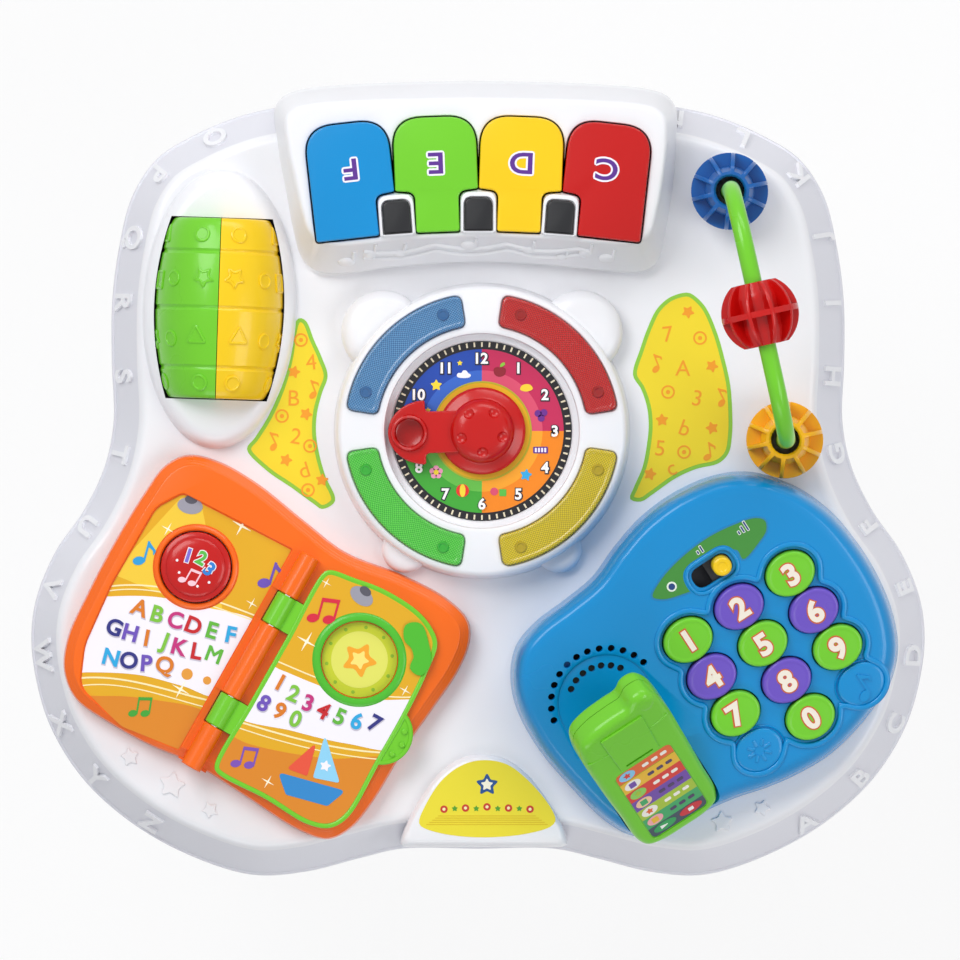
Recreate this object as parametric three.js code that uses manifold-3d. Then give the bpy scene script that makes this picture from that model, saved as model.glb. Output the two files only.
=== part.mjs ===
// Musical activity table for babies, in millimetres, +Z up, standing on Z = 0.
// The origin is the middle of the footprint; +Y is the piano side, -Y the side of the book and the telephone.

import * as THREE from "three";
import { mergeVertices } from "three/addons/utils/BufferGeometryUtils.js";
import Module from "manifold-3d";

const wasm = await Module();
wasm.setup();

// Clearances
const seatGap = 0.3; // between pieces that rest on each other
const runGap = 0.6; // round a piece that moves in an opening
const boreGap = 0.15; // round a pin in its bore
const overrun = 1; // how far a cut passes its face
const meshTolerance = 0.004; // corners nearer than this may merge

// Table shell
const tableWidth = 460;
const tableDepth = 406;
const legStand = 285; // underside of the shell above the floor
const shellHeight = 45;
const shellWall = 2.6;
const skirtRun = 14; // how far the skirt leans in
const deckRound = 5;
const deckTop = legStand + shellHeight;
const deckUnder = deckTop - shellWall;
const tableRingCount = 50;
const layoutWidth = 460; // table plan that the places and sizes of the activity pieces suit
const layoutDepth = 406;
// Right half of the outline from the front notch to the rear, x in half widths and y in depths
const tableHalfShares = [
  [0, -0.467],
  [0.171, -0.467],
  [0.265, -0.479],
  [0.385, -0.496],
  [0.505, -0.5],
  [0.647, -0.475],
  [0.776, -0.434],
  [0.885, -0.378],
  [0.959, -0.31],
  [0.992, -0.245],
  [1, -0.195],
  [0.988, -0.147],
  [0.945, -0.089],
  [0.883, -0.038],
  [0.836, 0.018],
  [0.816, 0.075],
  [0.82, 0.15],
  [0.819, 0.228],
  [0.803, 0.298],
  [0.774, 0.361],
  [0.719, 0.408],
  [0.636, 0.438],
  [0.534, 0.462],
  [0.44, 0.474],
  [0.25, 0.483],
  [0, 0.487],
];

// Bottom shell, leg sockets and battery box
const trayLift = 1.5; // tray above the foot of the skirt
const trayWall = 2.6;
const trayRim = 9;
const socketWall = 2.6;
const boxWall = 2;

// Legs
const legTopRadius = 21;
const legFootRadius = 18;
const legWall = 2.6;
const legSides = 12;
const spigotRadius = 16;
const spigotLength = 25;
const footPadHeight = 12;
const footPadWall = 2;
const footPadSole = 4;
const frontLegX = 158;
const frontLegY = -113;
const rearLegY = 152;

// Batteries, board and loudspeaker
const cellRadius = 7.25;
const cellLength = 50.5;
const cellCount = 3;
const cellGap = 0.8;
const nubRadius = 2.75;
const nubHeight = 1.2;
const boxX = 0;
const boxY = -62;
const doorLip = 4;
const doorWall = 2.2;
const screwHeadRadius = 3.5;
const screwSeatLip = 0.5; // boss left round the seat of the screw head
const screwRadius = 1.6;
const screwLength = 9;
const screwHeadHeight = 2;
const boardWidth = 92;
const boardDepth = 64;
const boardThickness = 1.6;
const boardX = 20;
const boardY = 52;
const postRadius = 3;
const postHeight = 8;
const postInset = 5;
const speakerRadius = 23;
const speakerMagnetRadius = 13;
const speakerFrame = 3;
const speakerCone = 9;
const speakerMagnet = 6;

// Roller and its pod, built along Y
const rollerX = -132.3;
const rollerY = 87.8;
const rollerLean = -1.9; // degrees about Z
const rollerLength = 92;
const rollerMidRadius = 32.7;
const rollerEndRadius = 25.3;
const rollerWall = 2.4;
const rollerEndRound = 2;
const rollerGrooveDepth = 0.8;
const rollerGrooveWidth = 3;
const rollerGrooveShares = [-0.66, 0, 0.63]; // places along the half length
const rollerEndShare = 0.85; // where the end taper begins
const rollerBandShare = 0.3; // middle of the band after each groove
const rollerAxisRise = 4; // axis above the deck
const rollerSeam = 0.3;
const axleRadius = 4;
const axleEnd = 5; // how far the axle passes each end of the roller
const podHalfWidth = 38.6;
const podHalfLength = 70.9;
const podRise = 11;
const podShoulder = 9;
const wellWall = 2;

// Piano
const pianoX = -1.3;
const pianoY = 153.5;
const pianoHalfWidth = 104;
const pianoHalfDepth = 52;
const pianoRise = 30; // top of the housing above the deck
const pianoHang = 12; // rear wall ends this far above the foot of the skirt
const pianoWall = 2.6;
const pianoFrontRun = 17; // lean of the front wall
const pianoSideRun = 6;
const pianoRearRun = 10;
const pianoRound = 3;
const pianoTurnShare = 0.25; // part of the lean below the turn of the wall
const keyPitch = 43.2;
const keyWidth = 42.2;
const keyLength = 58.5;
const keyFrontY = -26.5; // front edge of the middle keys from the middle of the housing
const keyShiftX = 1.5;
const keyArc = 549; // radius of the arc that the front edges lie on
const keyEndRound = 15;
const keyNotchWidth = 10;
const keyNotchLength = 20.5;
const keyRise = 3;
const keyDrop = 9; // lower edge of a key under the top of the housing
const keyWall = 2;
const keyEdge = 1;
const pivotRadius = 1.8;
const pivotReach = 3;
const pivotDrop = 4.5;
const pivotInset = 4;
const collarWall = 3.4;
const collarDrop = 10;
const tunnelWidth = 18.2;
const tunnelRise = 4.5;
const blackWidth = 14;
const blackLength = 17;
const blackRise = 1;
const blackSeat = 2;
// Housing outline in half widths and half depths, anticlockwise from the middle of the front
const pianoShares = [
  [0.02, -0.868],
  [0.4, -0.905],
  [0.62, -0.948],
  [0.8, -0.972],
  [0.87, -0.935],
  [0.915, -0.82],
  [0.945, -0.55],
  [0.98, -0.1],
  [1, 0.5],
  [0.99, 0.74],
  [0.94, 0.86],
  [0.85, 0.92],
  [0.6, 0.968],
  [0.3, 0.99],
  [0, 1],
  [-0.3, 0.99],
  [-0.6, 0.968],
  [-0.85, 0.92],
  [-0.94, 0.86],
  [-0.99, 0.74],
  [-0.98, 0.3],
  [-0.945, -0.1],
  [-0.91, -0.5],
  [-0.87, -0.8],
  [-0.81, -0.945],
  [-0.72, -0.99],
  [-0.58, -0.966],
  [-0.38, -0.91],
];
const pianoRingCount = 36;

// Clock
const clockX = 2;
const clockY = 25.3;
const clockRadius = 75.2;
const clockRise = 17;
const clockWall = 2.4;
const clockRound = 3;
const clockDraft = 1;
const dialRadius = 45.8;
const dialThickness = 1.6;
const dialFloor = 7; // floor of the dial well above the deck
const dialBevel = 3.4;
const bellReach = 71.4;
const bellAngle = 45;
const bellRadius = 21.5;
const bellRise = 13;
const footReach = 72;
const footAngle = 57;
const footRadius = 12;
const footRise = 8;
const lensInner = 53.9;
const lensOuter = 70;
const lensStart = 9;
const lensSweep = 72;
const lensRise = 2.2;
const lensEdge = 1;
const lensFlange = 1.2;
const lensRim = 0.6; // housing left outside a lens
const lensFlangeHeight = 1.4;
const hubRadius = 22.3;
const hubHeight = 6.2;
const hubDomeRadius = 16.4;
const hubDomeRise = 7.2;
const hubDomeShare = 0.6; // part of the dome's radius that its round takes
const handThickness = 7.5;
const handLift = 3.6; // underside of the hand above the floor of the dial well
const handHalfWidth = 10.7;
const handWingReach = 28.8;
const handWingHalf = 16.4;
const handLength = 48;
const handNoseShares = [0.3, 0.6, 0.85]; // points of the round head, from the tip out
const cupReach = 37.1;
const cupRimRadius = 9.2;
const cupRadius = 7.3;
const cupRise = 3;
const cupFloor = 2;
const shaftRadius = 4;
const shaftGrip = 5; // how far the shaft enters the hub
const shaftTail = 9; // how far it hangs under the deck
const clipRadius = 8;
const clipHeight = 2;
const handAngle = 181.5;

// Bead arch
const archFrontX = 156.57; // front post, beside the telephone
const archFrontY = 20.74;
const archLean = 12.5; // degrees about Z
const archSpan = 130; // from the front post to the rear post
const archRise = 91; // centre line of the top span above the deck
const archBend = 34;
const wireRadius = 4.5;
const wireSink = 12;
const sleeveRadius = 8;
const sleeveFloor = 2;
const beadRadius = 19.7;
const beadHalfHeight = 16;
const beadHole = 7.4;
const beadTube = 2; // wall round the hole
const beadRib = 2;
const beadCore = 12.5; // floor of the pockets
const beadRibCount = 8;
const beadShoulderShare = 0.55; // height where the pockets reach the core

// Book
const bookX = -116.2;
const bookY = -92.4;
const bookLean = -29.5; // degrees about Z
const bookHalfWidth = 93;
const bookHalfHeight = 80;
const bookRise = 14; // top face above the deck
const bookWall = 2.6;
const bookRingCount = 36;
// Anticlockwise from the lower end of the hinge, in half widths and half heights
const bookShares = [
  [0, -0.752],
  [0.35, -0.77],
  [0.68, -0.79],
  [0.85, -0.75],
  [0.93, -0.62],
  [0.965, -0.4],
  [0.975, 0],
  [1, 0.3],
  [1.02, 0.6],
  [0.995, 0.8],
  [0.93, 0.91],
  [0.78, 0.965],
  [0.5, 0.96],
  [0.16, 0.905],
  [-0.13, 0.95],
  [-0.45, 1.01],
  [-0.7, 1.01],
  [-0.86, 0.95],
  [-0.94, 0.82],
  [-0.965, 0.6],
  [-0.975, 0.2],
  [-0.965, -0.15],
  [-0.94, -0.45],
  [-0.87, -0.64],
  [-0.74, -0.76],
  [-0.5, -0.79],
  [-0.25, -0.785],
];
const bookSkirtInset = 0.8;
const bookStep = 2.6; // width of each rim step
const bookStepDrop = 1.2;
const bookStepCount = 2;
const hingeRise = 1.9; // hinge axis above the top face
const knuckleRadius = 5.4;
const knuckleGap = 0.4;
const hingePinRadius = 2;
const hingePinLength = 122;
const pageBoreGap = 0.4; // round the pin, in the knuckles of the turning page
const hingeHalfLength = 62;
const pageKnuckles = [-29, 30]; // middle of each page knuckle along the hinge
const pageKnuckleLength = 17;
const pageThickness = 3;
const pageStart = 8.5;
const pageWidth = 83;
const pageHalfHeight = 62;
const pageRingCount = 26;
const pageEdge = 0.8;
// Anticlockwise from the lower hinge corner, x in widths from the hinge and y in half heights
const pageShares = [
  [0.15, -0.93],
  [0.5, -0.925],
  [0.8, -0.935],
  [0.93, -0.87],
  [0.995, -0.72],
  [1, -0.2],
  [1, 0.25],
  [0.98, 0.66],
  [0.95, 0.88],
  [0.88, 0.97],
  [0.75, 1.04],
  [0.5, 1.06],
  [0.3, 1.02],
  [0.15, 0.98],
  [0.12, 0.93],
  [0.12, 0.3],
  [0.12, -0.3],
  [0.12, -0.88],
];
const tabReach = 9.5;
const tabRadius = 16;
const tabY = 1;
const windowX = 48;
const windowY = 28.2;
const windowRadius = 19.6;
const windowRing = 4.4;
const ringRise = 1.2;
const stemLength = 16;
const stemWidth = 5;
const stemAngle = 62;
const leftRecess = 1.8;
const songRadius = 18;
const songTravel = 3;
const songRest = 3.5; // top of the pressed button above the floor of the page
const songRise = songRest + songTravel;
const songFlange = 2;
const songFlangeHeight = 1.6;
// Left page recess, anticlockwise, in half widths and half heights
const leftPageShares = [
  [-0.1, -0.72],
  [-0.1, 0.755],
  [-0.78, 0.725],
  [-0.87, 0.56],
  [-0.875, 0],
  [-0.84, -0.43],
  [-0.75, -0.68],
  [-0.44, -0.775],
];

// Telephone
const phoneX = 113.6;
const phoneY = -91.9;
const phoneLean = 33; // degrees about Z
const phoneTilt = 12; // slope of the top face in degrees
const phoneHalfWidth = 97;
const phoneHalfHeight = 78;
const phoneMidRise = 36.5; // top face above the deck at the middle
const phoneWall = 3;
const phoneShoulder = 7;
const phoneShoulderShare = 0.42; // part of the local height that the shoulder takes
const phoneInnerShare = 0.5; // part of the local height where the hollow starts to close
const phoneDraft = 1.5;
const phoneRingCount = 38;
// Anticlockwise from the front middle, in half widths and half heights
const phoneShares = [
  [0.1, -0.975],
  [0.29, -0.985],
  [0.46, -0.95],
  [0.62, -0.89],
  [0.77, -0.81],
  [0.9, -0.66],
  [0.985, -0.44],
  [1.03, -0.15],
  [1.03, 0.15],
  [1, 0.38],
  [0.92, 0.62],
  [0.77, 0.85],
  [0.6, 0.965],
  [0.37, 1.017],
  [0.14, 1],
  [-0.06, 0.93],
  [-0.24, 0.845],
  [-0.42, 0.818],
  [-0.62, 0.8],
  [-0.77, 0.74],
  [-0.88, 0.6],
  [-0.95, 0.4],
  [-0.97, 0.1],
  [-0.935, -0.25],
  [-0.88, -0.55],
  [-0.8, -0.73],
  [-0.67, -0.82],
  [-0.46, -0.842],
  [-0.24, -0.885],
  [-0.07, -0.94],
];
const keypadX = 31.2;
const keypadTopY = 13.1; // first row, along the slope
const numberPitchX = 31;
const numberPitchY = 22.9;
const keypadY = keypadTopY - 1.5 * numberPitchY;
const numberHalfWidth = 13;
const numberHalfHeight = 11.1;
const numberRise = 4; // cap above the keypad floor
const numberEdge = 0.9;
const numberFlange = 1.7;
const numberFlangeHeight = 1.4;
const numberTravel = 2.2;
const numberRingCount = 12;
const keypadRecess = 1.2;
const keypadMargin = 4.2;
const dummyRise = 1.2;
const slotX = 29.6;
const slotY = 36.2;
const slotHalfWidth = 5.6;
const volumeTravel = 11;
const volumeRadius = 5;
const volumeRise = 4.5;
const volumeFlange = 3;
const volumeFlangeHeight = 1.6;
const keypadBoardWidth = 82;
const keypadBoardHeight = 76;
const switchHeight = 2.6; // between a pressed key and the board
const keypadBoardDrop = seatGap + numberFlangeHeight + numberTravel + switchHeight;
const keypadPostSize = 5;
const grilleX = -52.1;
const grilleY = 9;
const grilleOuter = 28.8;
const grilleInner = 19.8;
const grilleStep = 24.4;
const grilleStepDepth = 1;
const grilleHoleRadius = 1.8;
const grilleStart = 70; // first hole from local +X, in degrees
const grilleSweep = 190;
const grilleOuterCount = 13;
const grilleInnerCount = 7;

// Handset, built lying on its back with its head towards +Y
const handsetX = -53;
const handsetFootY = -60; // foot of the front shell, along the sloping face
const handsetTilt = 48; // degrees
const handsetHalfWidth = 25.5;
const handsetHalfLength = 51;
const handsetFront = 11.5; // depth of the front shell
const handsetBack = 8.5;
const handsetWall = 2.2;
const handsetEdge = 3.5;
const handsetSink = 5; // how far the foot goes into its pocket
const handsetRingCount = 22;
const cradleWall = 3;
const cradleHalfWidth = 15;
const cradleY = -31; // middle of the rest
const cradleReach = 24; // depth of the rest
// Anticlockwise from the middle of the foot, in half widths and half lengths
const handsetShares = [
  [0, -1],
  [0.5, -0.99],
  [0.82, -0.93],
  [0.93, -0.8],
  [0.96, -0.4],
  [1, 0.2],
  [1.01, 0.7],
  [0.95, 0.93],
  [0.8, 1.06],
  [0.5, 1.07],
  [0.3, 0.99],
  [0, 0.985],
  [-0.5, 0.96],
  [-0.85, 0.88],
  [-0.98, 0.7],
  [-1, 0.2],
  [-0.96, -0.4],
  [-0.93, -0.8],
  [-0.82, -0.93],
  [-0.5, -0.99],
];
const screenHalfWidth = 16.5;
const screenTop = 12;
const screenBottom = -44;
const screenRound = 4;
const screenDepth = 0.8;
const bandHalfWidth = 11.5;
const bandRise = 1.2;
const bandEnd = 46;
const bandStart = 14;
const slitHalfWidth = 8;
const slitWidth = 1.4;
const slitY = 17;

// Name-plate boss at the front
const bossX = 2;
const bossHalfWidth = 45;
const bossLength = 50;
const bossFrontY = -188.5;
const bossFoot = 8; // foot of the boss above the foot of the skirt
const bossRise = 5;
const bossRun = 5;
const bossWall = 2.6;
// Anticlockwise from the right front corner, in half widths and lengths
const bossShares = [
  [1, 0],
  [0.96, 0.18],
  [0.86, 0.36],
  [0.72, 0.56],
  [0.58, 0.73],
  [0.42, 0.87],
  [0.24, 0.96],
  [0.04, 1],
  [-0.16, 0.985],
  [-0.34, 0.91],
  [-0.5, 0.79],
  [-0.65, 0.62],
  [-0.79, 0.41],
  [-0.9, 0.2],
  [-0.97, 0],
];

// Rings and solids

const rad = THREE.MathUtils.degToRad;

// A ring of points spaced evenly along a smooth closed curve.
function smoothRing(points, count) {
  const curve = new THREE.CatmullRomCurve3(
    points.map(([x, y]) => new THREE.Vector3(x, y, 0)),
    true,
    "centripetal",
  );
  curve.arcLengthDivisions = count * 8;
  return curve.getSpacedPoints(count).slice(0, count);
}

function scaledShares(shares, width, height) {
  return shares.map(([x, y]) => [x * width, y * height]);
}

function ellipseRing(halfWidth, halfHeight, count) {
  return Array.from({ length: count }, (_, i) => {
    const angle = (i / count) * 2 * Math.PI;
    return new THREE.Vector3(halfWidth * Math.cos(angle), halfHeight * Math.sin(angle), 0);
  });
}

// A rectangle with round corners.
function roundedRing(halfWidth, halfHeight, radius, steps = 3) {
  const ring = [];
  const corners = [
    [1, -1, -90],
    [1, 1, 0],
    [-1, 1, 90],
    [-1, -1, 180],
  ];
  for (const [sx, sy, start] of corners) {
    for (let i = 0; i <= steps; i++) {
      const angle = rad(start + (90 * i) / steps);
      const x = sx * (halfWidth - radius) + radius * Math.cos(angle);
      const y = sy * (halfHeight - radius) + radius * Math.sin(angle);
      ring.push(new THREE.Vector3(x, y, 0));
    }
  }
  return ring;
}

function ringOf(points) {
  return points.map(([x, y]) => new THREE.Vector3(x, y, 0));
}

function movedRing(ring, x, y) {
  const shift = new THREE.Vector3(x, y, 0);
  return ring.map((p) => p.clone().add(shift));
}

// Moves each point of an anticlockwise ring inwards; inset is a length or a function of the outward normal.
function insetRing(ring, inset) {
  return ring.map((p, i) => {
    const before = ring.at(i - 1);
    const after = ring[(i + 1) % ring.length];
    const arriving = p.clone().sub(before).setZ(0).normalize();
    const leaving = after.clone().sub(p).setZ(0).normalize();
    const normal = new THREE.Vector3(arriving.y, -arriving.x, 0);
    const outward = normal.clone().add(new THREE.Vector3(leaving.y, -leaving.x, 0)).normalize();
    const distance = typeof inset === "function" ? inset(outward) : inset;
    return p.clone().addScaledVector(outward, -distance / Math.max(outward.dot(normal), 0.5));
  });
}

// Puts a ring at a height, which is a length or a function of the point.
function atHeight(ring, height) {
  return ring.map((p) => {
    const z = typeof height === "function" ? height(p) : height;
    return new THREE.Vector3(p.x, p.y, z);
  });
}

// A closed skin over rings of equal count: its ends are capped, or the last ring joins the first.
function loft(rings, endless = false) {
  const count = rings[0].length;
  const indices = [];
  const bands = endless ? rings.length : rings.length - 1;
  for (let k = 0; k < bands; k++) {
    const low = k * count;
    const high = ((k + 1) % rings.length) * count;
    for (let i = 0; i < count; i++) {
      const next = (i + 1) % count;
      indices.push(low + i, low + next, high + next, low + i, high + next, high + i);
    }
  }
  if (!endless) {
    const last = (rings.length - 1) * count;
    for (const [a, b, c] of capOf(rings[0])) indices.push(c, b, a);
    for (const [a, b, c] of capOf(rings.at(-1))) indices.push(last + a, last + b, last + c);
  }
  const geometry = new THREE.BufferGeometry().setFromPoints(rings.flat());
  geometry.setIndex(indices);
  return geometry;
}

function capOf(ring) {
  const contour = ring.map((p) => new THREE.Vector2(p.x, p.y));
  return THREE.ShapeUtils.triangulateShape(contour, []);
}

// A straight-sided solid over one ring.
function prism(ring, bottom, top) {
  return loft([atHeight(ring, bottom), atHeight(ring, top)]);
}

// A solid of revolution about Z from [radius, height] points.
function turned(profile, segments) {
  const points = profile.map(([r, z]) => new THREE.Vector2(r, z));
  return new THREE.LatheGeometry(points, segments).rotateX(Math.PI / 2);
}

function cylinder(radius, bottom, top, segments = 24) {
  return turned(
    [
      [0, bottom],
      [radius, bottom],
      [radius, top],
      [0, top],
    ],
    segments,
  );
}

function box(width, depth, bottom, top) {
  return new THREE.BoxGeometry(width, depth, top - bottom).translate(0, 0, (top + bottom) / 2);
}

// Rounded shoulder as [inset, drop] steps from the wall to the top face.
function shoulder(run, drop, steps = 3) {
  return Array.from({ length: steps }, (_, i) => {
    const angle = ((i + 1) / steps) * (Math.PI / 2);
    return [run * (1 - Math.cos(angle)), drop * (1 - Math.sin(angle))];
  });
}

// The solid of a closed geometry, without the slivers that close up when its vertices merge.
function solid(geometry) {
  const bare = geometry.clone();
  bare.deleteAttribute("normal");
  bare.deleteAttribute("uv");
  const merged = mergeVertices(bare, 1e-4);
  const corners = merged.index.array;
  const kept = [];
  for (let i = 0; i < corners.length; i += 3) {
    const [a, b, c] = corners.slice(i, i + 3);
    if (a !== b && b !== c && c !== a) kept.push(a, b, c);
  }
  return new wasm.Manifold(
    new wasm.Mesh({
      numProp: 3,
      vertProperties: new Float32Array(merged.attributes.position.array),
      triVerts: new Uint32Array(kept),
      tolerance: meshTolerance,
    }),
  );
}

// The geometry of a solid.
function surface(made) {
  const { numVert, numProp, vertProperties, triVerts } = made.getMesh();
  const positions = new Float32Array(numVert * 3);
  for (let i = 0; i < numVert; i++) {
    positions.set(vertProperties.subarray(i * numProp, i * numProp + 3), i * 3);
  }
  const geometry = new THREE.BufferGeometry();
  geometry.setAttribute("position", new THREE.BufferAttribute(positions, 3));
  geometry.setIndex(new THREE.BufferAttribute(triVerts, 1));
  return geometry;
}

function join(...items) {
  return surface(items.map(solid).reduce((all, item) => all.add(item)));
}

function cut(base, ...tools) {
  return surface(tools.map(solid).reduce((rest, tool) => rest.subtract(tool), solid(base)));
}

function common(first, second) {
  return surface(solid(first).intersect(solid(second)));
}

function shifted(item, x, y, z = 0) {
  return item.clone().translate(x, y, z);
}

function plastic(color, roughness = 0.35) {
  return new THREE.MeshStandardMaterial({ color, roughness, metalness: 0 });
}

function metal(color, roughness = 0.3) {
  return new THREE.MeshStandardMaterial({ color, roughness, metalness: 1 });
}

function mesh(name, geometry, material) {
  const result = new THREE.Mesh(surface(solid(geometry)), material);
  result.name = name;
  return result;
}

function groupAt(x, y, z, turn, ...children) {
  const group = new THREE.Group();
  group.position.set(x, y, z);
  group.rotation.z = rad(turn);
  group.add(...children);
  return group;
}

// Materials
const white = plastic(0xf1f0f3, 0.4);
const skyBlue = plastic(0x1290d4);
const leafGreen = plastic(0x76c82f);
const sunYellow = plastic(0xf5cf18);
const deepRed = plastic(0xc9131c);
const orange = plastic(0xf0641c);
const purple = plastic(0x6148ab);
const black = plastic(0x17181a, 0.5);
const rubberGrey = plastic(0xb9bac2, 0.8);
const steel = metal(0xb9bcc0);
const cellSleeve = plastic(0x2d3a6b, 0.4);
const boardGreen = plastic(0x1c5f36, 0.6);
const dialPrint = plastic(0x2b57a7, 0.5);

// Table shell

const tableRing = smoothRing(
  [...tableHalfShares, ...tableHalfShares.slice(1, -1).reverse().map(([x, y]) => [-x, y])].map(
    ([x, y]) => [(x * tableWidth) / 2, y * tableDepth],
  ),
  tableRingCount,
);

// Outer skin of the shell from the foot of the skirt to the deck, grown outwards by a clearance.
function skirtRings(growth) {
  const foot = insetRing(tableRing, -growth);
  const round = shoulder(deckRound, deckRound, 2).map(([run, drop]) =>
    atHeight(insetRing(tableRing, skirtRun + run - growth), deckTop - drop + growth),
  );
  return [
    atHeight(foot, legStand),
    atHeight(insetRing(tableRing, skirtRun - growth), deckTop - deckRound),
    ...round,
  ];
}

// How far the inner face of the skirt stands in from the outline at a height.
function hollowInset(z) {
  const share = (z - legStand) / (deckUnder - deckRound / 2 - legStand);
  return shellWall + share * skirtRun;
}

function shellHollow() {
  const levels = [legStand - overrun, deckUnder - deckRound / 2];
  return loft([
    ...levels.map((z) => atHeight(insetRing(tableRing, hollowInset(z)), z)),
    atHeight(insetRing(tableRing, skirtRun + deckRound), deckUnder),
  ]);
}

function rollerRadius(share) {
  return rollerMidRadius - (rollerMidRadius - rollerEndRadius) * share * share;
}

// Barrel-shaped outline round the roller at its widest, with a clearance.
function barrelRing(clearance, steps = 6) {
  const side = Array.from({ length: steps + 1 }, (_, i) => {
    const share = -1 + (2 * i) / steps;
    return [rollerRadius(share) + clearance, share * (rollerLength / 2 + clearance)];
  });
  return ringOf([...side, ...side.map(([x, y]) => [-x, -y])]);
}

function rollerPod() {
  const foot = ellipseRing(podHalfWidth, podHalfLength, 24);
  const round = shoulder(podShoulder, podRise - podShoulder / 2, 2).map(([run, drop]) =>
    atHeight(insetRing(foot, run), deckTop + podRise - drop),
  );
  return loft([atHeight(foot, deckTop - shellWall / 2), atHeight(foot, deckTop + podShoulder / 4), ...round]);
}

// Slots in the pod's end walls that the axle rises into from below.
function axleSlots() {
  const halfWidth = axleRadius + runGap;
  const length = rollerLength + 2 * (axleEnd + runGap);
  const axis = deckTop + rollerAxisRise;
  const channel = box(2 * halfWidth, length, deckUnder - overrun, axis);
  const round = cylinder(halfWidth, -length / 2, length / 2, 8).rotateX(Math.PI / 2).translate(0, 0, axis);
  return join(channel, round);
}

// Outline of the wedge-shaped boss, drawn in by a margin.
function bossRing(inset) {
  const halfWidth = planFit * (bossHalfWidth - inset);
  const length = planFit * (bossLength - 2 * inset);
  const ring = ringOf(scaledShares(bossShares, halfWidth, length));
  return movedRing(ring, bossX * planX, bossFrontY * planY + planFit * inset);
}

function bossLoft(inset, foot, top) {
  return loft([
    atHeight(bossRing(inset), foot),
    atHeight(bossRing(inset + bossRun / 3), top - bossRun),
    atHeight(bossRing(inset + bossRun), top),
  ]);
}

// Places and sizes that follow the plan of the table: a piece keeps its height
const planX = tableWidth / layoutWidth;
const planY = tableDepth / layoutDepth;
const planFit = Math.min(planX, planY);

function onPlan(item, x, y, turn = 0) {
  return item.clone().scale(planFit, planFit, 1).rotateZ(rad(turn)).translate(x * planX, y * planY, 0);
}

function planGroup(x, y, turn, ...children) {
  const group = groupAt(x * planX, y * planY, 0, turn, ...children);
  group.scale.set(planFit, planFit, 1);
  return group;
}

function atRoller(item) {
  return onPlan(item, rollerX, rollerY, rollerLean);
}

function atArchEnds(item) {
  return [0, archSpan].map((y) => onPlan(shifted(item, 0, y), archFrontX, archFrontY, archLean));
}

function topShell() {
  const sleeve = cylinder(sleeveRadius, deckTop - wireSink - sleeveFloor, deckTop - shellWall / 2, 10);
  const bore = cylinder(wireRadius + seatGap, deckTop - wireSink, deckTop + overrun, 10);
  const opening = prism(barrelRing(runGap), deckUnder - overrun, deckTop + podRise + overrun);
  const boss = bossLoft(0, legStand + bossFoot, deckTop + bossRise);
  const bossInside = bossLoft(bossWall, legStand + bossFoot - overrun, deckTop + bossRise - bossWall);
  const shaftHole = cylinder(shaftRadius + boreGap, deckUnder - overrun, deckTop + overrun, 12);
  const skin = cut(join(loft(skirtRings(0)), boss, atRoller(rollerPod())), shellHollow(), bossInside);
  const body = cut(
    join(skin, ...atArchEnds(sleeve)),
    atRoller(opening),
    atRoller(axleSlots()),
    ...atArchEnds(bore),
    onPlan(shaftHole, clockX, clockY),
  );
  return mesh("top_shell", body, white);
}

// Bottom shell with its leg sockets and battery box

const trayBottom = legStand + trayLift;
const trayTop = trayBottom + trayWall;
const boxInnerWidth = cellCount * 2 * cellRadius + (cellCount + 1) * cellGap;
const boxInnerDepth = cellLength + nubHeight + 2 * cellGap;
const doorWidth = boxInnerWidth + 2 * doorLip;
const doorDepth = boxInnerDepth + 2 * doorLip;
const doorScrewY = boxInnerDepth / 2 + boxWall + screwHeadRadius + cellGap;
const cellAxis = trayBottom + doorWall + seatGap + cellGap + cellRadius;
const boxTop = cellAxis + cellRadius + cellGap + boxWall;
const boardBottom = trayTop + postHeight;

const legPlaces = [
  [-frontLegX * planX, frontLegY * planY],
  [frontLegX * planX, frontLegY * planY],
  [0, rearLegY * planY],
];

function boardPosts() {
  const posts = [];
  for (const sx of [-1, 1]) {
    for (const sy of [-1, 1]) {
      const x = boardX + sx * (boardWidth / 2 - postInset);
      const y = boardY + sy * (boardDepth / 2 - postInset);
      posts.push(cylinder(postRadius, trayBottom + trayWall / 2, boardBottom - seatGap, 6).translate(x, y, 0));
    }
  }
  return posts;
}

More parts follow.
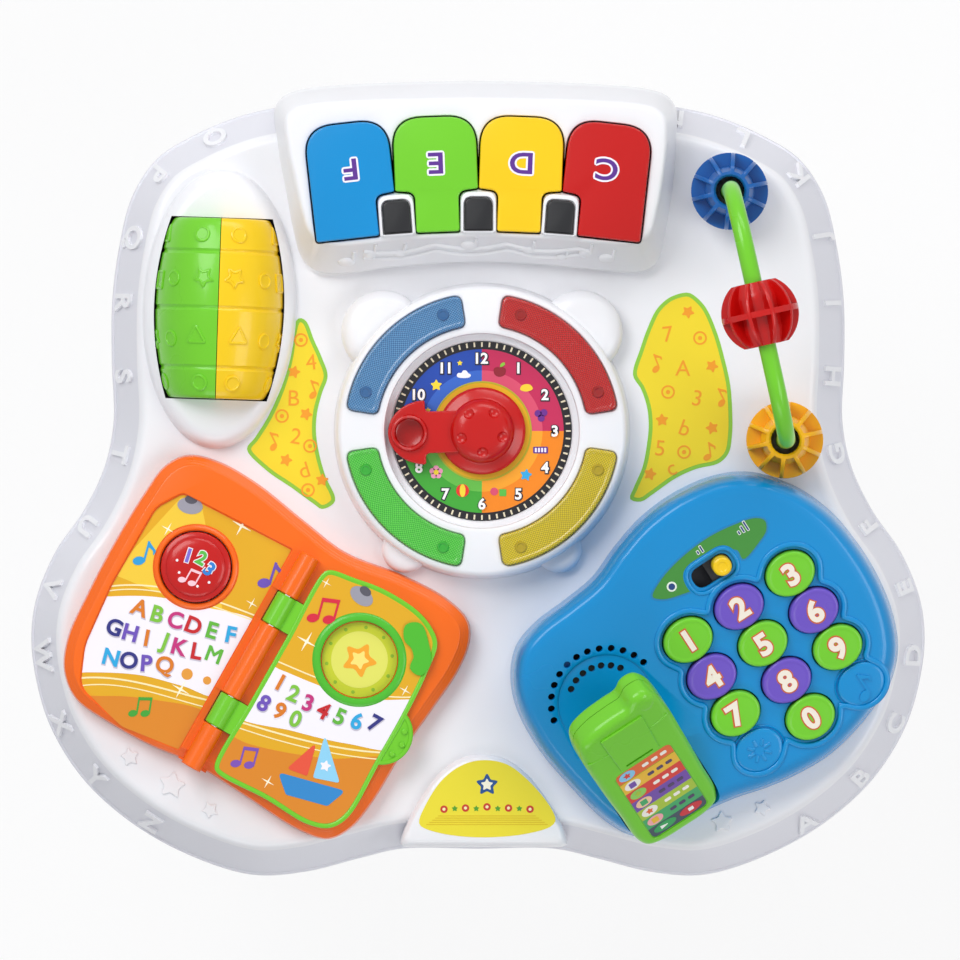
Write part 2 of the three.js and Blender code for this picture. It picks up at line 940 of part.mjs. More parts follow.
function bottomShell() {
  const edge = insetRing(tableRing, hollowInset(trayBottom) + seatGap);
  const rim = insetRing(tableRing, hollowInset(trayBottom + trayRim) + seatGap);
  const tray = loft([
    atHeight(edge, trayBottom),
    atHeight(rim, trayBottom + trayRim),
    atHeight(insetRing(rim, trayWall), trayBottom + trayRim),
    atHeight(insetRing(rim, trayWall), trayTop),
  ]);
  const socketTop = legStand + spigotLength + seatGap + socketWall;
  const sockets = legPlaces.map(([x, y]) =>
    cylinder(spigotRadius + seatGap + socketWall, trayBottom, socketTop, legSides).translate(x, y, 0),
  );
  const bores = legPlaces.map(([x, y]) =>
    cylinder(spigotRadius + seatGap, trayBottom - overrun, socketTop - socketWall, legSides).translate(x, y, 0),
  );
  const cell = box(boxInnerWidth + 2 * boxWall, boxInnerDepth + 2 * boxWall, trayBottom, boxTop);
  const hollow = box(boxInnerWidth, boxInnerDepth, trayBottom - overrun, boxTop - boxWall);
  const doorSeat = box(
    doorWidth + 2 * seatGap,
    2 * doorScrewY + 2 * screwHeadRadius + 2 * seatGap,
    trayBottom - overrun,
    trayBottom + doorWall + seatGap,
  );
  const seatPlate = box(
    doorWidth + 2 * seatGap + 2 * boxWall,
    2 * doorScrewY + 2 * screwHeadRadius + 2 * boxWall,
    trayBottom,
    trayBottom + doorWall + seatGap + boxWall,
  );
  const screwBoss = cylinder(screwHeadRadius, trayBottom, trayBottom + screwLength + boxWall, 8);
  const screwBore = cylinder(screwRadius + boreGap, trayBottom - overrun, trayBottom + screwLength, 8);
  const atBox = (item) => shifted(item, boxX, boxY);
  const atScrew = (item) => shifted(item, boxX, boxY + doorScrewY);
  const body = join(tray, ...sockets, atBox(cell), atBox(seatPlate), atScrew(screwBoss), ...boardPosts());
  const shell = cut(body, ...bores, atBox(hollow), atBox(doorSeat), atScrew(screwBore));
  return mesh("bottom_shell", shell, white);
}

function batteryDoor() {
  const height = 2 * doorScrewY + 2 * screwHeadRadius;
  const outline = roundedRing(doorWidth / 2, height / 2, doorLip / 2, 1);
  const panel = prism(outline, trayBottom, trayBottom + doorWall);
  const hole = cylinder(screwRadius + boreGap, trayBottom - overrun, trayBottom + doorWall + overrun, 8);
  const seatTop = trayBottom + screwHeadHeight / 2;
  const headSeat = cylinder(screwHeadRadius - screwSeatLip, trayBottom - overrun, seatTop, 8);
  const door = cut(panel, hole.translate(0, doorScrewY, 0), headSeat.translate(0, doorScrewY, 0));
  return groupAt(boxX, boxY, 0, 0, mesh("battery_door", door, white));
}

function doorScrew() {
  const head = screwHeadRadius - screwSeatLip - boreGap;
  const top = trayBottom + screwHeadHeight / 2 - boreGap;
  const profile = [
    [0, top - screwHeadHeight / 2],
    [head, top - screwHeadHeight / 2],
    [head, top],
    [screwRadius, top],
    [screwRadius, top + screwLength - screwHeadHeight],
    [0, top + screwLength - screwHeadHeight],
  ];
  return groupAt(boxX, boxY + doorScrewY, 0, 0, mesh("battery_door_screw", turned(profile, 8), steel));
}

function batteries() {
  const profile = [
    [0, -cellLength / 2],
    [cellRadius, -cellLength / 2],
    [cellRadius, cellLength / 2 - nubHeight],
    [nubRadius, cellLength / 2 - nubHeight],
    [nubRadius, cellLength / 2],
    [0, cellLength / 2],
  ];
  const cells = Array.from({ length: cellCount }, (_, i) => {
    const cell = mesh("battery_" + (i + 1), turned(profile, 10), cellSleeve);
    cell.position.x = (i - (cellCount - 1) / 2) * (2 * cellRadius + cellGap);
    cell.rotation.x = i % 2 ? Math.PI / 2 : -Math.PI / 2;
    return cell;
  });
  return groupAt(boxX, boxY, cellAxis, 0, ...cells);
}

function mainBoard() {
  const board = box(boardWidth, boardDepth, boardBottom, boardBottom + boardThickness);
  return groupAt(boardX, boardY, 0, 0, mesh("main_board", board, boardGreen));
}

// Legs

function legSet() {
  const group = new THREE.Group();
  const foot = footPadSole + seatGap;
  const profile = [
    [legFootRadius - legWall, foot],
    [legFootRadius, foot],
    [legTopRadius, legStand - seatGap],
    [spigotRadius, legStand - seatGap],
    [spigotRadius, legStand + spigotLength],
    [spigotRadius - legWall, legStand + spigotLength],
    [spigotRadius - legWall, legStand - seatGap - legWall],
    [legTopRadius - legWall, legStand - seatGap - 2 * legWall],
    [legFootRadius - legWall, foot],
  ];
  const padRadius = legFootRadius + seatGap + ((legTopRadius - legFootRadius) * footPadHeight) / legStand;
  const pad = [
    [0, 0],
    [padRadius + footPadWall, 0],
    [padRadius + footPadWall, footPadHeight],
    [padRadius, footPadHeight],
    [padRadius, footPadSole],
    [0, footPadSole],
  ];
  legPlaces.forEach(([x, y], i) => {
    const leg = mesh("leg_" + (i + 1), turned(profile, legSides), white);
    const cap = mesh("leg_foot_" + (i + 1), turned(pad, legSides), rubberGrey);
    group.add(groupAt(x, y, 0, 0, leg, cap));
  });
  return group;
}

// Roller, its axle and the well that carries it

const rollerAxis = deckTop + rollerAxisRise;

function rollerProfile() {
  const half = rollerLength / 2;
  const at = (share, sink = 0) => [rollerRadius(share) - sink, share * half];
  const edge = rollerGrooveWidth / rollerLength;
  const outer = [[rollerEndRadius, rollerEndRound - half], at(-rollerEndShare)];
  for (const share of rollerGrooveShares) {
    outer.push(at(share - edge), at(share, rollerGrooveDepth), at(share + edge));
    outer.push(at(share + rollerBandShare));
  }
  outer.pop();
  outer.push([rollerEndRadius, half - rollerEndRound]);
  const bore = axleRadius + boreGap;
  const inner = rollerEndRadius - rollerEndRound - rollerWall;
  return [
    [bore, -half],
    [rollerEndRadius - rollerEndRound, -half],
    ...outer,
    [rollerEndRadius - rollerEndRound, half],
    [bore, half],
    [bore, half - 2 * rollerWall],
    [inner, half - rollerWall],
    [rollerMidRadius - 2 * rollerWall, 0],
    [inner, rollerWall - half],
    [bore, 2 * rollerWall - half],
    [bore, -half],
  ];
}

function rollerSet() {
  const barrel = turned(rollerProfile(), 16).rotateX(-Math.PI / 2);
  const reach = rollerMidRadius + overrun;
  const space = box(reach, rollerLength + 2 * overrun, -reach, reach);
  const halfSpace = (side) => shifted(space, (side * (reach + rollerSeam)) / 2, 0);
  const axleHalf = rollerLength / 2 + axleEnd;
  const axle = cylinder(axleRadius, -axleHalf, axleHalf, 12).rotateX(Math.PI / 2);
  const turning = groupAt(
    0,
    0,
    rollerAxis,
    0,
    mesh("roller_half_green", common(barrel, halfSpace(-1)), leafGreen),
    mesh("roller_half_yellow", common(barrel, halfSpace(1)), sunYellow),
    mesh("roller_axle", axle, rubberGrey),
  );
  return planGroup(rollerX, rollerY, rollerLean, turning, rollerWell());
}

function rollerWell() {
  const inner = barrelRing(runGap + seatGap);
  const outer = insetRing(inner, -wellWall);
  const rim = deckUnder - seatGap;
  const floor = rollerAxis - rollerMidRadius - runGap;
  const cup = loft([
    atHeight(outer, floor - wellWall),
    atHeight(outer, rim),
    atHeight(inner, rim),
    atHeight(inner, floor),
  ]);
  const saddleTop = rollerAxis - axleRadius - seatGap;
  const saddleY = rollerLength / 2 + runGap + seatGap + wellWall / 2 + axleEnd / 4;
  const saddles = [-1, 1].map((side) =>
    box(2 * axleRadius, axleEnd / 2, rim - 2 * wellWall, saddleTop).translate(0, side * saddleY, 0),
  );
  return mesh("roller_well", join(cup, ...saddles), black);
}

// Piano

const pianoTop = deckTop + pianoRise;

function pianoLean(outward) {
  const front = Math.max(-outward.y, 0) ** 2;
  const rear = Math.max(outward.y, 0) ** 2;
  return pianoSideRun + (pianoFrontRun - pianoSideRun) * front + (pianoRearRun - pianoSideRun) * rear;
}

// Places an item of one key, whose own origin is the middle of its front edge, on the fan of keys.
function keyAngle(index) {
  return ((1.5 - index) * keyPitch) / (keyArc + keyLength / 2);
}

function atKey(item, index) {
  const angle = keyAngle(index);
  const x = keyShiftX - keyArc * Math.sin(angle);
  const y = keyFrontY - keyArc * (1 - Math.cos(angle));
  return item.clone().rotateZ(angle).translate(x, y, 0);
}

// Outline of a key: narrow front between the black keys, wide body, round rear corners.
function keyRing(index, growth = 0) {
  const half = keyWidth / 2;
  const left = half - (index > 0 ? keyNotchWidth : keyEdge);
  const right = half - (index < 3 ? keyNotchWidth : keyEdge);
  const points = [
    [-left, 0],
    [right, 0],
    [right, keyNotchLength],
    [half, keyNotchLength + keyEdge],
  ];
  const steps = 2;
  for (const side of [1, -1]) {
    for (let i = 0; i <= steps; i++) {
      const turn = side > 0 ? i / steps : 1 - i / steps;
      const angle = (turn * Math.PI) / 2;
      const x = side * (half - keyEndRound + keyEndRound * Math.cos(angle));
      points.push([x, keyLength - keyEndRound + keyEndRound * Math.sin(angle)]);
    }
  }
  points.push([-half, keyNotchLength + keyEdge], [-left, keyNotchLength]);
  return insetRing(ringOf(points), -growth);
}

function pivotPin(index, growth) {
  const half = keyWidth / 2;
  const left = half - (index > 0 ? keyNotchWidth : keyEdge) + pivotReach + growth;
  const right = half - (index < 3 ? keyNotchWidth : keyEdge) + pivotReach + growth;
  return cylinder(pivotRadius + growth, -left, right, 6)
    .rotateY(Math.PI / 2)
    .translate(0, pivotInset, pianoTop - pivotDrop);
}

function pianoKeyIndices() {
  return [0, 1, 2, 3];
}

function pianoKeys() {
  const names = ["piano_key_blue", "piano_key_green", "piano_key_yellow", "piano_key_red"];
  const looks = [skyBlue, leafGreen, sunYellow, deepRed];
  return pianoKeyIndices().map((index) => {
    const ring = keyRing(index);
    const inside = insetRing(ring, keyWall);
    const top = pianoTop + keyRise;
    const cap = loft([
      atHeight(inside, top - keyWall),
      atHeight(inside, pianoTop - keyDrop),
      atHeight(ring, pianoTop - keyDrop),
      atHeight(ring, top - keyEdge),
      atHeight(insetRing(ring, keyEdge), top),
    ]);
    return mesh(names[index], atKey(join(cap, pivotPin(index, 0)), index), looks[index]);
  });
}

// Middle of the tunnel between two keys, halfway between their fan angles.
function atTunnel(item, index) {
  return atKey(item, index + 0.5);
}

function tunnelRing(width, length, start) {
  return movedRing(roundedRing(width / 2, length / 2, width / 4, 1), 0, start + length / 2);
}

function pianoHousing() {
  const outline = smoothRing(scaledShares(pianoShares, pianoHalfWidth, pianoHalfDepth), pianoRingCount);
  const lean = (share, extra) => (outward) => pianoLean(outward) * share + extra;
  const low = legStand + pianoHang;
  const turn = deckTop + pianoRise / 4;
  const rings = [
    atHeight(insetRing(outline, lean(1, pianoRound + pianoWall)), pianoTop - pianoWall),
    atHeight(insetRing(outline, lean(pianoTurnShare, pianoWall)), turn - pianoWall),
    atHeight(insetRing(outline, pianoWall), low),
    atHeight(outline, low),
    atHeight(insetRing(outline, lean(pianoTurnShare, 0)), turn),
    atHeight(insetRing(outline, lean(1, 0)), pianoTop - pianoRound),
    atHeight(insetRing(outline, lean(1, pianoRound)), pianoTop),
  ];
  const indices = pianoKeyIndices();
  const collar = indices.map((i) =>
    atKey(prism(keyRing(i, runGap + collarWall), pianoTop - collarDrop, pianoTop - pianoWall / 2), i),
  );
  const openings = indices.map((i) =>
    atKey(prism(keyRing(i, runGap), pianoTop - collarDrop - overrun, pianoTop + tunnelRise + overrun), i),
  );
  const slots = indices.map((i) => {
    const pin = pivotPin(i, boreGap);
    pin.computeBoundingBox();
    const { min, max } = pin.boundingBox;
    const low = pianoTop - collarDrop - overrun;
    const channel = box(max.x - min.x, max.y - min.y, low, pianoTop - pivotDrop);
    return atKey(join(pin, channel.translate((min.x + max.x) / 2, pivotInset, 0)), i);
  });
  const tunnelOutline = tunnelRing(tunnelWidth, keyNotchLength, 0);
  const tunnel = prism(tunnelOutline, pianoTop - pianoWall, pianoTop + tunnelRise);
  const tunnels = [0, 1, 2].map((i) => atTunnel(tunnel, i));
  const pockets = [0, 1, 2].map((i) =>
    atTunnel(
      prism(
        tunnelRing(blackWidth + 2 * seatGap, blackLength + 2 * seatGap, -seatGap),
        pianoTop + tunnelRise - blackSeat,
        pianoTop + tunnelRise + overrun,
      ),
      i,
    ),
  );
  const table = shifted(loft(skirtRings(seatGap)), -pianoX * planX, -pianoY * planY);
  table.scale(1 / planFit, 1 / planFit, 1);
  const shell = cut(join(loft(rings), ...collar), table, join(...openings));
  const housing = cut(join(shell, ...tunnels), ...openings, ...slots, ...pockets);
  return mesh("piano_housing", housing, white);
}

function blackKeys() {
  const bottom = pianoTop + tunnelRise - blackSeat + seatGap;
  return [0, 1, 2].map((i) => {
    const ring = tunnelRing(blackWidth, blackLength, 0);
    const top = pianoTop + tunnelRise + blackRise;
    const cap = loft([
      atHeight(ring, bottom),
      atHeight(ring, top - keyEdge),
      atHeight(insetRing(ring, keyEdge), top),
    ]);
    return mesh("black_key_" + (i + 1), atTunnel(cap, i), black);
  });
}

// Clock

const clockTop = deckTop + clockRise;
const dialSeat = deckTop + dialFloor;
const dialWellRadius = dialRadius + seatGap;

function atAngle(item, reach, angle) {
  const x = reach * Math.cos(rad(angle));
  const y = reach * Math.sin(rad(angle));
  return shifted(item, x, y);
}

function dome(radius, bottom, top, segments) {
  const half = (top - bottom) / 2;
  const round = shoulder(radius / 2, half, 2).map(([run, drop]) => [radius - run, top - drop]);
  return turned([[0, bottom], [radius, bottom], [radius, bottom + half], ...round, [0, top]], segments);
}

function bulges(bottom) {
  const bell = dome(bellRadius, bottom, deckTop + bellRise, 16);
  const foot = dome(footRadius, bottom, deckTop + footRise, 12);
  return [
    atAngle(bell, bellReach, bellAngle),
    atAngle(bell, bellReach, 180 - bellAngle),
    atAngle(foot, footReach, -footAngle),
    atAngle(foot, footReach, footAngle - 180),
  ];
}

// Hollows of the bulges, open at the bottom.
function bulgeHollows(bottom) {
  const bell = cylinder(bellRadius - 2 * clockWall, bottom, deckTop + bellRise - clockWall, 10);
  const foot = cylinder(footRadius - 2 * clockWall, bottom, deckTop + footRise - clockWall, 8);
  return [
    atAngle(bell, bellReach, bellAngle),
    atAngle(bell, bellReach, 180 - bellAngle),
    atAngle(foot, footReach, -footAngle),
    atAngle(foot, footReach, footAngle - 180),
  ];
}

// Outline of one lens; the outer arc may grow by another amount than the rest.
function sectorRing(quadrant, growth, outerGrowth = growth) {
  const steps = 5;
  const inner = lensInner - growth;
  const outer = lensOuter + outerGrowth;
  const start = rad(90 * quadrant + lensStart);
  const sweep = rad(lensSweep);
  const points = [];
  for (let i = 0; i <= steps; i++) {
    const spread = growth / outer;
    const angle = start - spread + ((sweep + 2 * spread) * i) / steps;
    points.push([outer * Math.cos(angle), outer * Math.sin(angle)]);
  }
  for (let i = steps; i >= 0; i--) {
    const spread = growth / inner;
    const angle = start - spread + ((sweep + 2 * spread) * i) / steps;
    points.push([inner * Math.cos(angle), inner * Math.sin(angle)]);
  }
  return ringOf(points);
}

function clockHousing() {
  const foot = deckTop + seatGap;
  const round = shoulder(clockRound, clockRound, 2).map(([run, drop]) => [
    clockRadius - clockDraft - run,
    clockTop - drop,
  ]);
  const body = turned(
    [
      [0, foot],
      [clockRadius, foot],
      [clockRadius - clockDraft, clockTop - clockRound],
      ...round,
      [0, clockTop],
    ],
    32,
  );
  const wellRim = dialWellRadius + dialBevel;
  const inside = turned(
    [
      [0, foot - overrun],
      [clockRadius - clockWall, foot - overrun],
      [clockRadius - clockDraft - clockWall, clockTop - clockRound - clockWall / 2],
      [lensOuter + seatGap + lensRim, clockTop - clockWall],
      [wellRim + clockWall, clockTop - clockWall],
      [wellRim + clockWall, dialSeat - clockWall],
      [0, dialSeat - clockWall],
    ],
    32,
  );
  const well = turned(
    [
      [0, dialSeat],
      [dialWellRadius, dialSeat],
      [dialWellRadius, dialSeat + dialThickness + seatGap],
      [wellRim, dialSeat + 2 * dialThickness],
      [wellRim, clockTop + overrun],
      [0, clockTop + overrun],
    ],
    32,
  );
  const bore = cylinder(shaftRadius + boreGap, dialSeat - clockWall - overrun, dialSeat + overrun, 12);
  const windows = [0, 1, 2, 3].map((q) =>
    prism(sectorRing(q, seatGap), clockTop - clockWall - overrun, clockTop + overrun),
  );
  const outer = join(body, ...bulges(foot));
  const inner = join(inside, ...bulgeHollows(foot - overrun));
  return mesh("clock_housing", cut(outer, inner, well, bore, ...windows), white);
}

function dialPlate() {
  const bottom = dialSeat + boreGap;
  const profile = [
    [shaftRadius + boreGap, bottom],
    [dialRadius, bottom],
    [dialRadius, bottom + dialThickness],
    [shaftRadius + boreGap, bottom + dialThickness],
    [shaftRadius + boreGap, bottom],
  ];
  return mesh("dial_plate", turned(profile, 24), dialPrint);
}

function lenses() {
  const names = ["light_lens_red", "light_lens_blue", "light_lens_green", "light_lens_yellow"];
  const looks = [0xc81420, 0x3f78ad, 0x3fc63a, 0xd8b90e];
  const underside = clockTop - clockWall - seatGap;
  return names.map((name, q) => {
    const flange = sectorRing(q, lensFlange, 0);
    const neck = sectorRing(q, 0);
    const lens = loft([
      atHeight(flange, underside - lensFlangeHeight),
      atHeight(flange, underside),
      atHeight(neck, underside),
      atHeight(neck, clockTop + lensRise - lensEdge),
      atHeight(sectorRing(q, -lensEdge), clockTop + lensRise),
    ]);
    return mesh(name, lens, plastic(looks[q], 0.2));
  });
}

// The hand points along +X in its own frame.
function clockHand() {
  const base = 0;
  const hub = turned(
    [
      [0, base],
      [hubRadius, base],
      [hubRadius, hubHeight / 2],
      [hubDomeRadius, hubHeight],
      ...shoulder(hubDomeRadius * hubDomeShare, hubDomeRise, 2).map(([run, drop]) => [
        hubDomeRadius - run,
        hubHeight + hubDomeRise - drop,
      ]),
      [0, hubHeight + hubDomeRise],
    ],
    16,
  );
  const headHalf = handLength - handWingReach;
  const nose = handNoseShares.map((share) => [
    handWingReach + headHalf * Math.sqrt(1 - share * share),
    handWingHalf * share,
  ]);
  const upper = [
    [handLength, 0],
    ...nose,
    [handWingReach, handWingHalf],
    [handWingReach, handHalfWidth],
    [0, handHalfWidth],
  ];
  const lower = upper.slice(1).reverse().map(([x, y]) => [x, -y]);
  const armRing = ringOf([...upper, ...lower]);
  const arm = loft([
    atHeight(armRing, base),
    atHeight(armRing, handThickness - keyEdge),
    atHeight(insetRing(armRing, keyEdge), handThickness),
  ]);
  const cupTop = handThickness + cupRise;
  const rim = cylinder(cupRimRadius, base, cupTop, 12).translate(cupReach, 0, 0);
  const cup = cylinder(cupRadius, cupFloor, cupTop + overrun, 12).translate(cupReach, 0, 0);
  const grip = cylinder(shaftRadius + boreGap, base - overrun, shaftGrip + seatGap, 12);
  const hand = mesh("clock_hand", cut(join(hub, arm, rim), cup, grip), deepRed);
  return groupAt(0, 0, dialSeat + handLift, handAngle, hand);
}

function handShaft() {
  const top = dialSeat + handLift + shaftGrip;
  const clipTop = deckUnder - seatGap;
  const bottom = deckUnder - shaftTail;
  const profile = [
    [0, bottom],
    [shaftRadius, bottom],
    [shaftRadius, clipTop - clipHeight],
    [clipRadius, clipTop - clipHeight],
    [clipRadius, clipTop],
    [shaftRadius, clipTop],
    [shaftRadius, top],
    [0, top],
  ];
  return mesh("clock_hand_shaft", turned(profile, 12), rubberGrey);
}

function clockSet() {
  return planGroup(clockX, clockY, 0, clockHousing(), dialPlate(), ...lenses(), clockHand(), handShaft());
}

// Bead arch

class ArchLine extends THREE.Curve {
  // Upright arch in the YZ plane, from the foot at -Y over the top to the foot at +Y.
  getPoint(t) {
    const half = archSpan / 2;
    const foot = deckTop - wireSink + seatGap;
    const bendZ = deckTop + archRise - archBend;
    const post = bendZ - foot;
    const bend = (archBend * Math.PI) / 2;
    const top = archSpan - 2 * archBend;
    const way = t * (2 * post + 2 * bend + top);
    if (way <= post) return new THREE.Vector3(0, -half, foot + way);
    if (way <= post + bend) {
      const angle = (way - post) / archBend;
      return new THREE.Vector3(
        0,
        archBend - half - archBend * Math.cos(angle),
        bendZ + archBend * Math.sin(angle),
      );
    }
    if (way <= post + bend + top) {
      return new THREE.Vector3(0, archBend - half + way - post - bend, deckTop + archRise);
    }
    const mirrored = this.getPoint(1 - t);
    return mirrored.setY(-mirrored.y);
  }
}

function beadArch() {
  const section = new THREE.Shape().absarc(0, 0, wireRadius, 0, 2 * Math.PI);
  const tube = new THREE.ExtrudeGeometry(section, {
    steps: 22,
    curveSegments: 5,
    bevelEnabled: false,
    extrudePath: new ArchLine(),
  });
  return mesh("bead_arch", tube, leafGreen);
}

// Ring of a bead at one height: ribs out to one radius, pockets between them in to another.
function beadRing(ribRadius, pocketRadius, z) {
  const ring = [];
  for (let i = 0; i < beadRibCount; i++) {
    const angle = (2 * Math.PI * i) / beadRibCount;
    const corners = [
      [pocketRadius, -1],
      [ribRadius, -1],
      [ribRadius, 1],
      [pocketRadius, 1],
    ];
    for (const [radius, side] of corners) {
      const turn = angle + (side * Math.asin(beadRib / 2 / radius));
      ring.push(new THREE.Vector3(radius * Math.cos(turn), radius * Math.sin(turn), z));
    }
  }
  return ring;
}

// Ribbed bead about Z: upright ribs, a ring round the equator and closed pockets between them.
function beadSolid() {
  const radiusAt = (z) => Math.sqrt(beadRadius ** 2 - z ** 2);
  const equator = beadRib / 2;
  const middle = radiusAt(equator);
  const shoulderZ = beadHalfHeight * beadShoulderShare;
  const side = (sign) => [
    beadRing(radiusAt(beadHalfHeight), beadHole + beadTube, sign * beadHalfHeight),
    beadRing(radiusAt(shoulderZ), beadCore, sign * shoulderZ),
    beadRing(middle, beadCore, sign * equator),
    beadRing(middle, middle, sign * equator),
  ];
  const bore = [beadHalfHeight, -beadHalfHeight].map((z) => beadRing(beadHole, beadHole, z));
  return loft([...bore, ...side(-1), ...side(1).reverse()], true);
}

function beadSet() {
  const bead = beadSolid();
  const restHeight = deckTop + seatGap + beadHalfHeight;
  const blue = mesh("bead_blue", bead, skyBlue);
  blue.position.set(0, archSpan / 2, restHeight);
  const yellow = mesh("bead_yellow", bead, sunYellow);
  yellow.position.set(0, -archSpan / 2, restHeight);
  const red = mesh("bead_red", bead, deepRed);
  red.rotation.x = Math.PI / 2;
  red.position.set(0, 0, deckTop + archRise - (beadHole - wireRadius) + seatGap);
  const middle = groupAt(0, archSpan / 2, 0, 0, beadArch(), blue, yellow, red);
  return planGroup(archFrontX, archFrontY, archLean, middle);
}

// Book

const bookTop = deckTop + bookRise;
const hingeAxis = bookTop + hingeRise;

function alongHinge(radius, from, to, segments = 10) {
  return cylinder(radius, -to, -from, segments).rotateX(Math.PI / 2).translate(0, 0, hingeAxis);
}

function bookBase() {
  const outline = smoothRing(scaledShares(bookShares, bookHalfWidth, bookHalfHeight), bookRingCount);
  const foot = deckTop + seatGap;
  const rim = [];
  for (let i = 0; i < bookStepCount; i++) {
    const top = bookTop - (bookStepCount - 1 - i) * bookStepDrop;
    const inset = bookSkirtInset + i * bookStep;
    rim.push(atHeight(insetRing(outline, inset), top - bookStepDrop / 2));
    rim.push(atHeight(insetRing(outline, inset + bookStepDrop / 2), top));
  }
  const depth = bookStepCount * bookStepDrop;
  const shell = loft([
    atHeight(insetRing(outline, bookSkirtInset + bookStepCount * bookStep + bookWall), bookTop - bookWall),
    atHeight(insetRing(outline, bookSkirtInset + bookWall), bookTop - depth - bookWall),
    atHeight(insetRing(outline, bookWall), foot),
    atHeight(outline, foot),
    ...rim,
  ]);
  const spine = box(2 * knuckleRadius, 2 * hingeHalfLength, bookTop - bookWall - knuckleRadius, hingeAxis);
  const knuckleLine = alongHinge(knuckleRadius, -hingeHalfLength, hingeHalfLength);
  const halfSlot = pageKnuckleLength / 2 + knuckleGap;
  const slotRadius = knuckleRadius + runGap;
  const slots = pageKnuckles.map((y) =>
    join(
      alongHinge(slotRadius, y - halfSlot, y + halfSlot),
      box(2 * slotRadius, 2 * halfSlot, hingeAxis, hingeAxis + knuckleRadius + overrun).translate(0, y, 0),
      box(2 * pageStart, 2 * halfSlot, bookTop - runGap, bookTop + overrun).translate(0, y, 0),
    ),
  );
  const pinEnd = hingePinLength / 2 + seatGap;
  const pinBore = alongHinge(hingePinRadius + boreGap, -pinEnd, pinEnd, 8);
  const recess = prism(
    ringOf(scaledShares(leftPageShares, bookHalfWidth, bookHalfHeight)),
    bookTop - leftRecess,
    bookTop + overrun,
  );
  const buttonHole = cylinder(songRadius + runGap, bookTop - 3 * bookWall, bookTop + overrun, 16);
  const floorBottom = bookTop - leftRecess - bookWall;
  const backing = cylinder(songRadius + 2 * bookWall, floorBottom, bookTop - bookWall / 2, 12);
  const atButton = (item) => shifted(item, -windowX, windowY);
  const floorPad = prism(
    insetRing(ringOf(scaledShares(leftPageShares, bookHalfWidth, bookHalfHeight)), -bookWall / 2),
    floorBottom,
    bookTop - bookWall / 2,
  );
  const base = cut(
    join(shell, floorPad, atButton(backing), spine, knuckleLine),
    ...slots,
    recess,
    atButton(buttonHole),
    pinBore,
  );
  return mesh("book_base", base, orange);
}

function bookPage() {
  const ring = smoothRing(scaledShares(pageShares, pageWidth, pageHalfHeight), pageRingCount);
  const bottom = hingeAxis - pageThickness / 2;
  const top = hingeAxis + pageThickness / 2;
  const rims = (outline) => [
    atHeight(insetRing(outline, pageEdge / 2), bottom),
    atHeight(outline, bottom + pageEdge / 2),
    atHeight(outline, top - pageEdge / 2),
    atHeight(insetRing(outline, pageEdge / 2), top),
  ];
  const sheet = loft(rims(ring));
  const tab = cylinder(tabRadius, bottom, top, 16).translate(pageWidth + tabReach - tabRadius, tabY, 0);
  const windowOuter = windowRadius + windowRing;
  const windowEdge = cylinder(windowOuter, top - pageEdge, top + ringRise, 20);
  const windowHole = cylinder(windowRadius, bottom - overrun, top + ringRise + overrun, 20);
  const stem = box(stemLength, stemWidth, top - pageEdge, top + ringRise)
    .translate(windowOuter + stemLength / 2 - stemWidth / 2, 0, 0)
    .rotateZ(rad(stemAngle))
    .translate(windowX, windowY, 0);
  const half = pageKnuckleLength / 2;
  const knuckles = pageKnuckles.flatMap((y) => [
    alongHinge(knuckleRadius, y - half, y + half),
    box(2 * pageStart, 2 * half, bottom, top).translate(pageStart, y, 0),
  ]);
  const pinBore = alongHinge(hingePinRadius + pageBoreGap, -hingePinLength / 2, hingePinLength / 2, 8);
  const page = cut(
    join(sheet, tab, windowEdge.translate(windowX, windowY, 0), stem, ...knuckles),
    windowHole.translate(windowX, windowY, 0),
    pinBore,
  );
  return mesh("book_page", page, leafGreen);
}

function hingePin() {
  const half = hingePinLength / 2;
  return mesh("book_hinge_pin", alongHinge(hingePinRadius, -half, half, 8), steel);
}

function songButton() {
  const floor = bookTop - leftRecess;
  const flangeTop = floor - bookWall - seatGap;
  const top = floor + songRise;
  const profile = [
    [songRadius - bookWall, flangeTop - songFlangeHeight],
    [songRadius + songFlange, flangeTop - songFlangeHeight],
    [songRadius + songFlange, flangeTop],
    [songRadius, flangeTop],
    [songRadius, floor + songRise / 3],
    ...shoulder(songRadius / 2, songRise / 2).map(([run, drop]) => [songRadius - run, top - drop]),
    [0, top],
    [0, top - bookWall],
    [songRadius - bookWall, floor],
    [songRadius - bookWall, flangeTop - songFlangeHeight],
  ];
  const button = mesh("song_button", turned(profile, 16), deepRed);
  button.position.set(-windowX, windowY, 0);
  return button;
}

function bookSet() {
  return planGroup(bookX, bookY, bookLean, bookBase(), bookPage(), hingePin(), songButton());
}

// Telephone, built in the frame of its sloping face: the face is Z = 0, the deck lies below it on a slant

const slope = rad(phoneTilt);

// From upright coordinates, with Z above the middle of the face, to the frame of the face.
function onFace(ring) {
  return ring.map((p) => p.clone().applyAxisAngle(new THREE.Vector3(1, 0, 0), -slope));
}

// A ring on the sloping face, directly above a flat ring.
function faceRing(ring) {
  return ring.map((p) => new THREE.Vector3(p.x, p.y / Math.cos(slope), 0));
}

// A ring between the deck, at 0, and the face, at 1.
function risenRing(ring, share) {
  const foot = seatGap - phoneMidRise;
  return onFace(atHeight(ring, (p) => foot + (p.y * Math.tan(slope) - foot) * share));
}

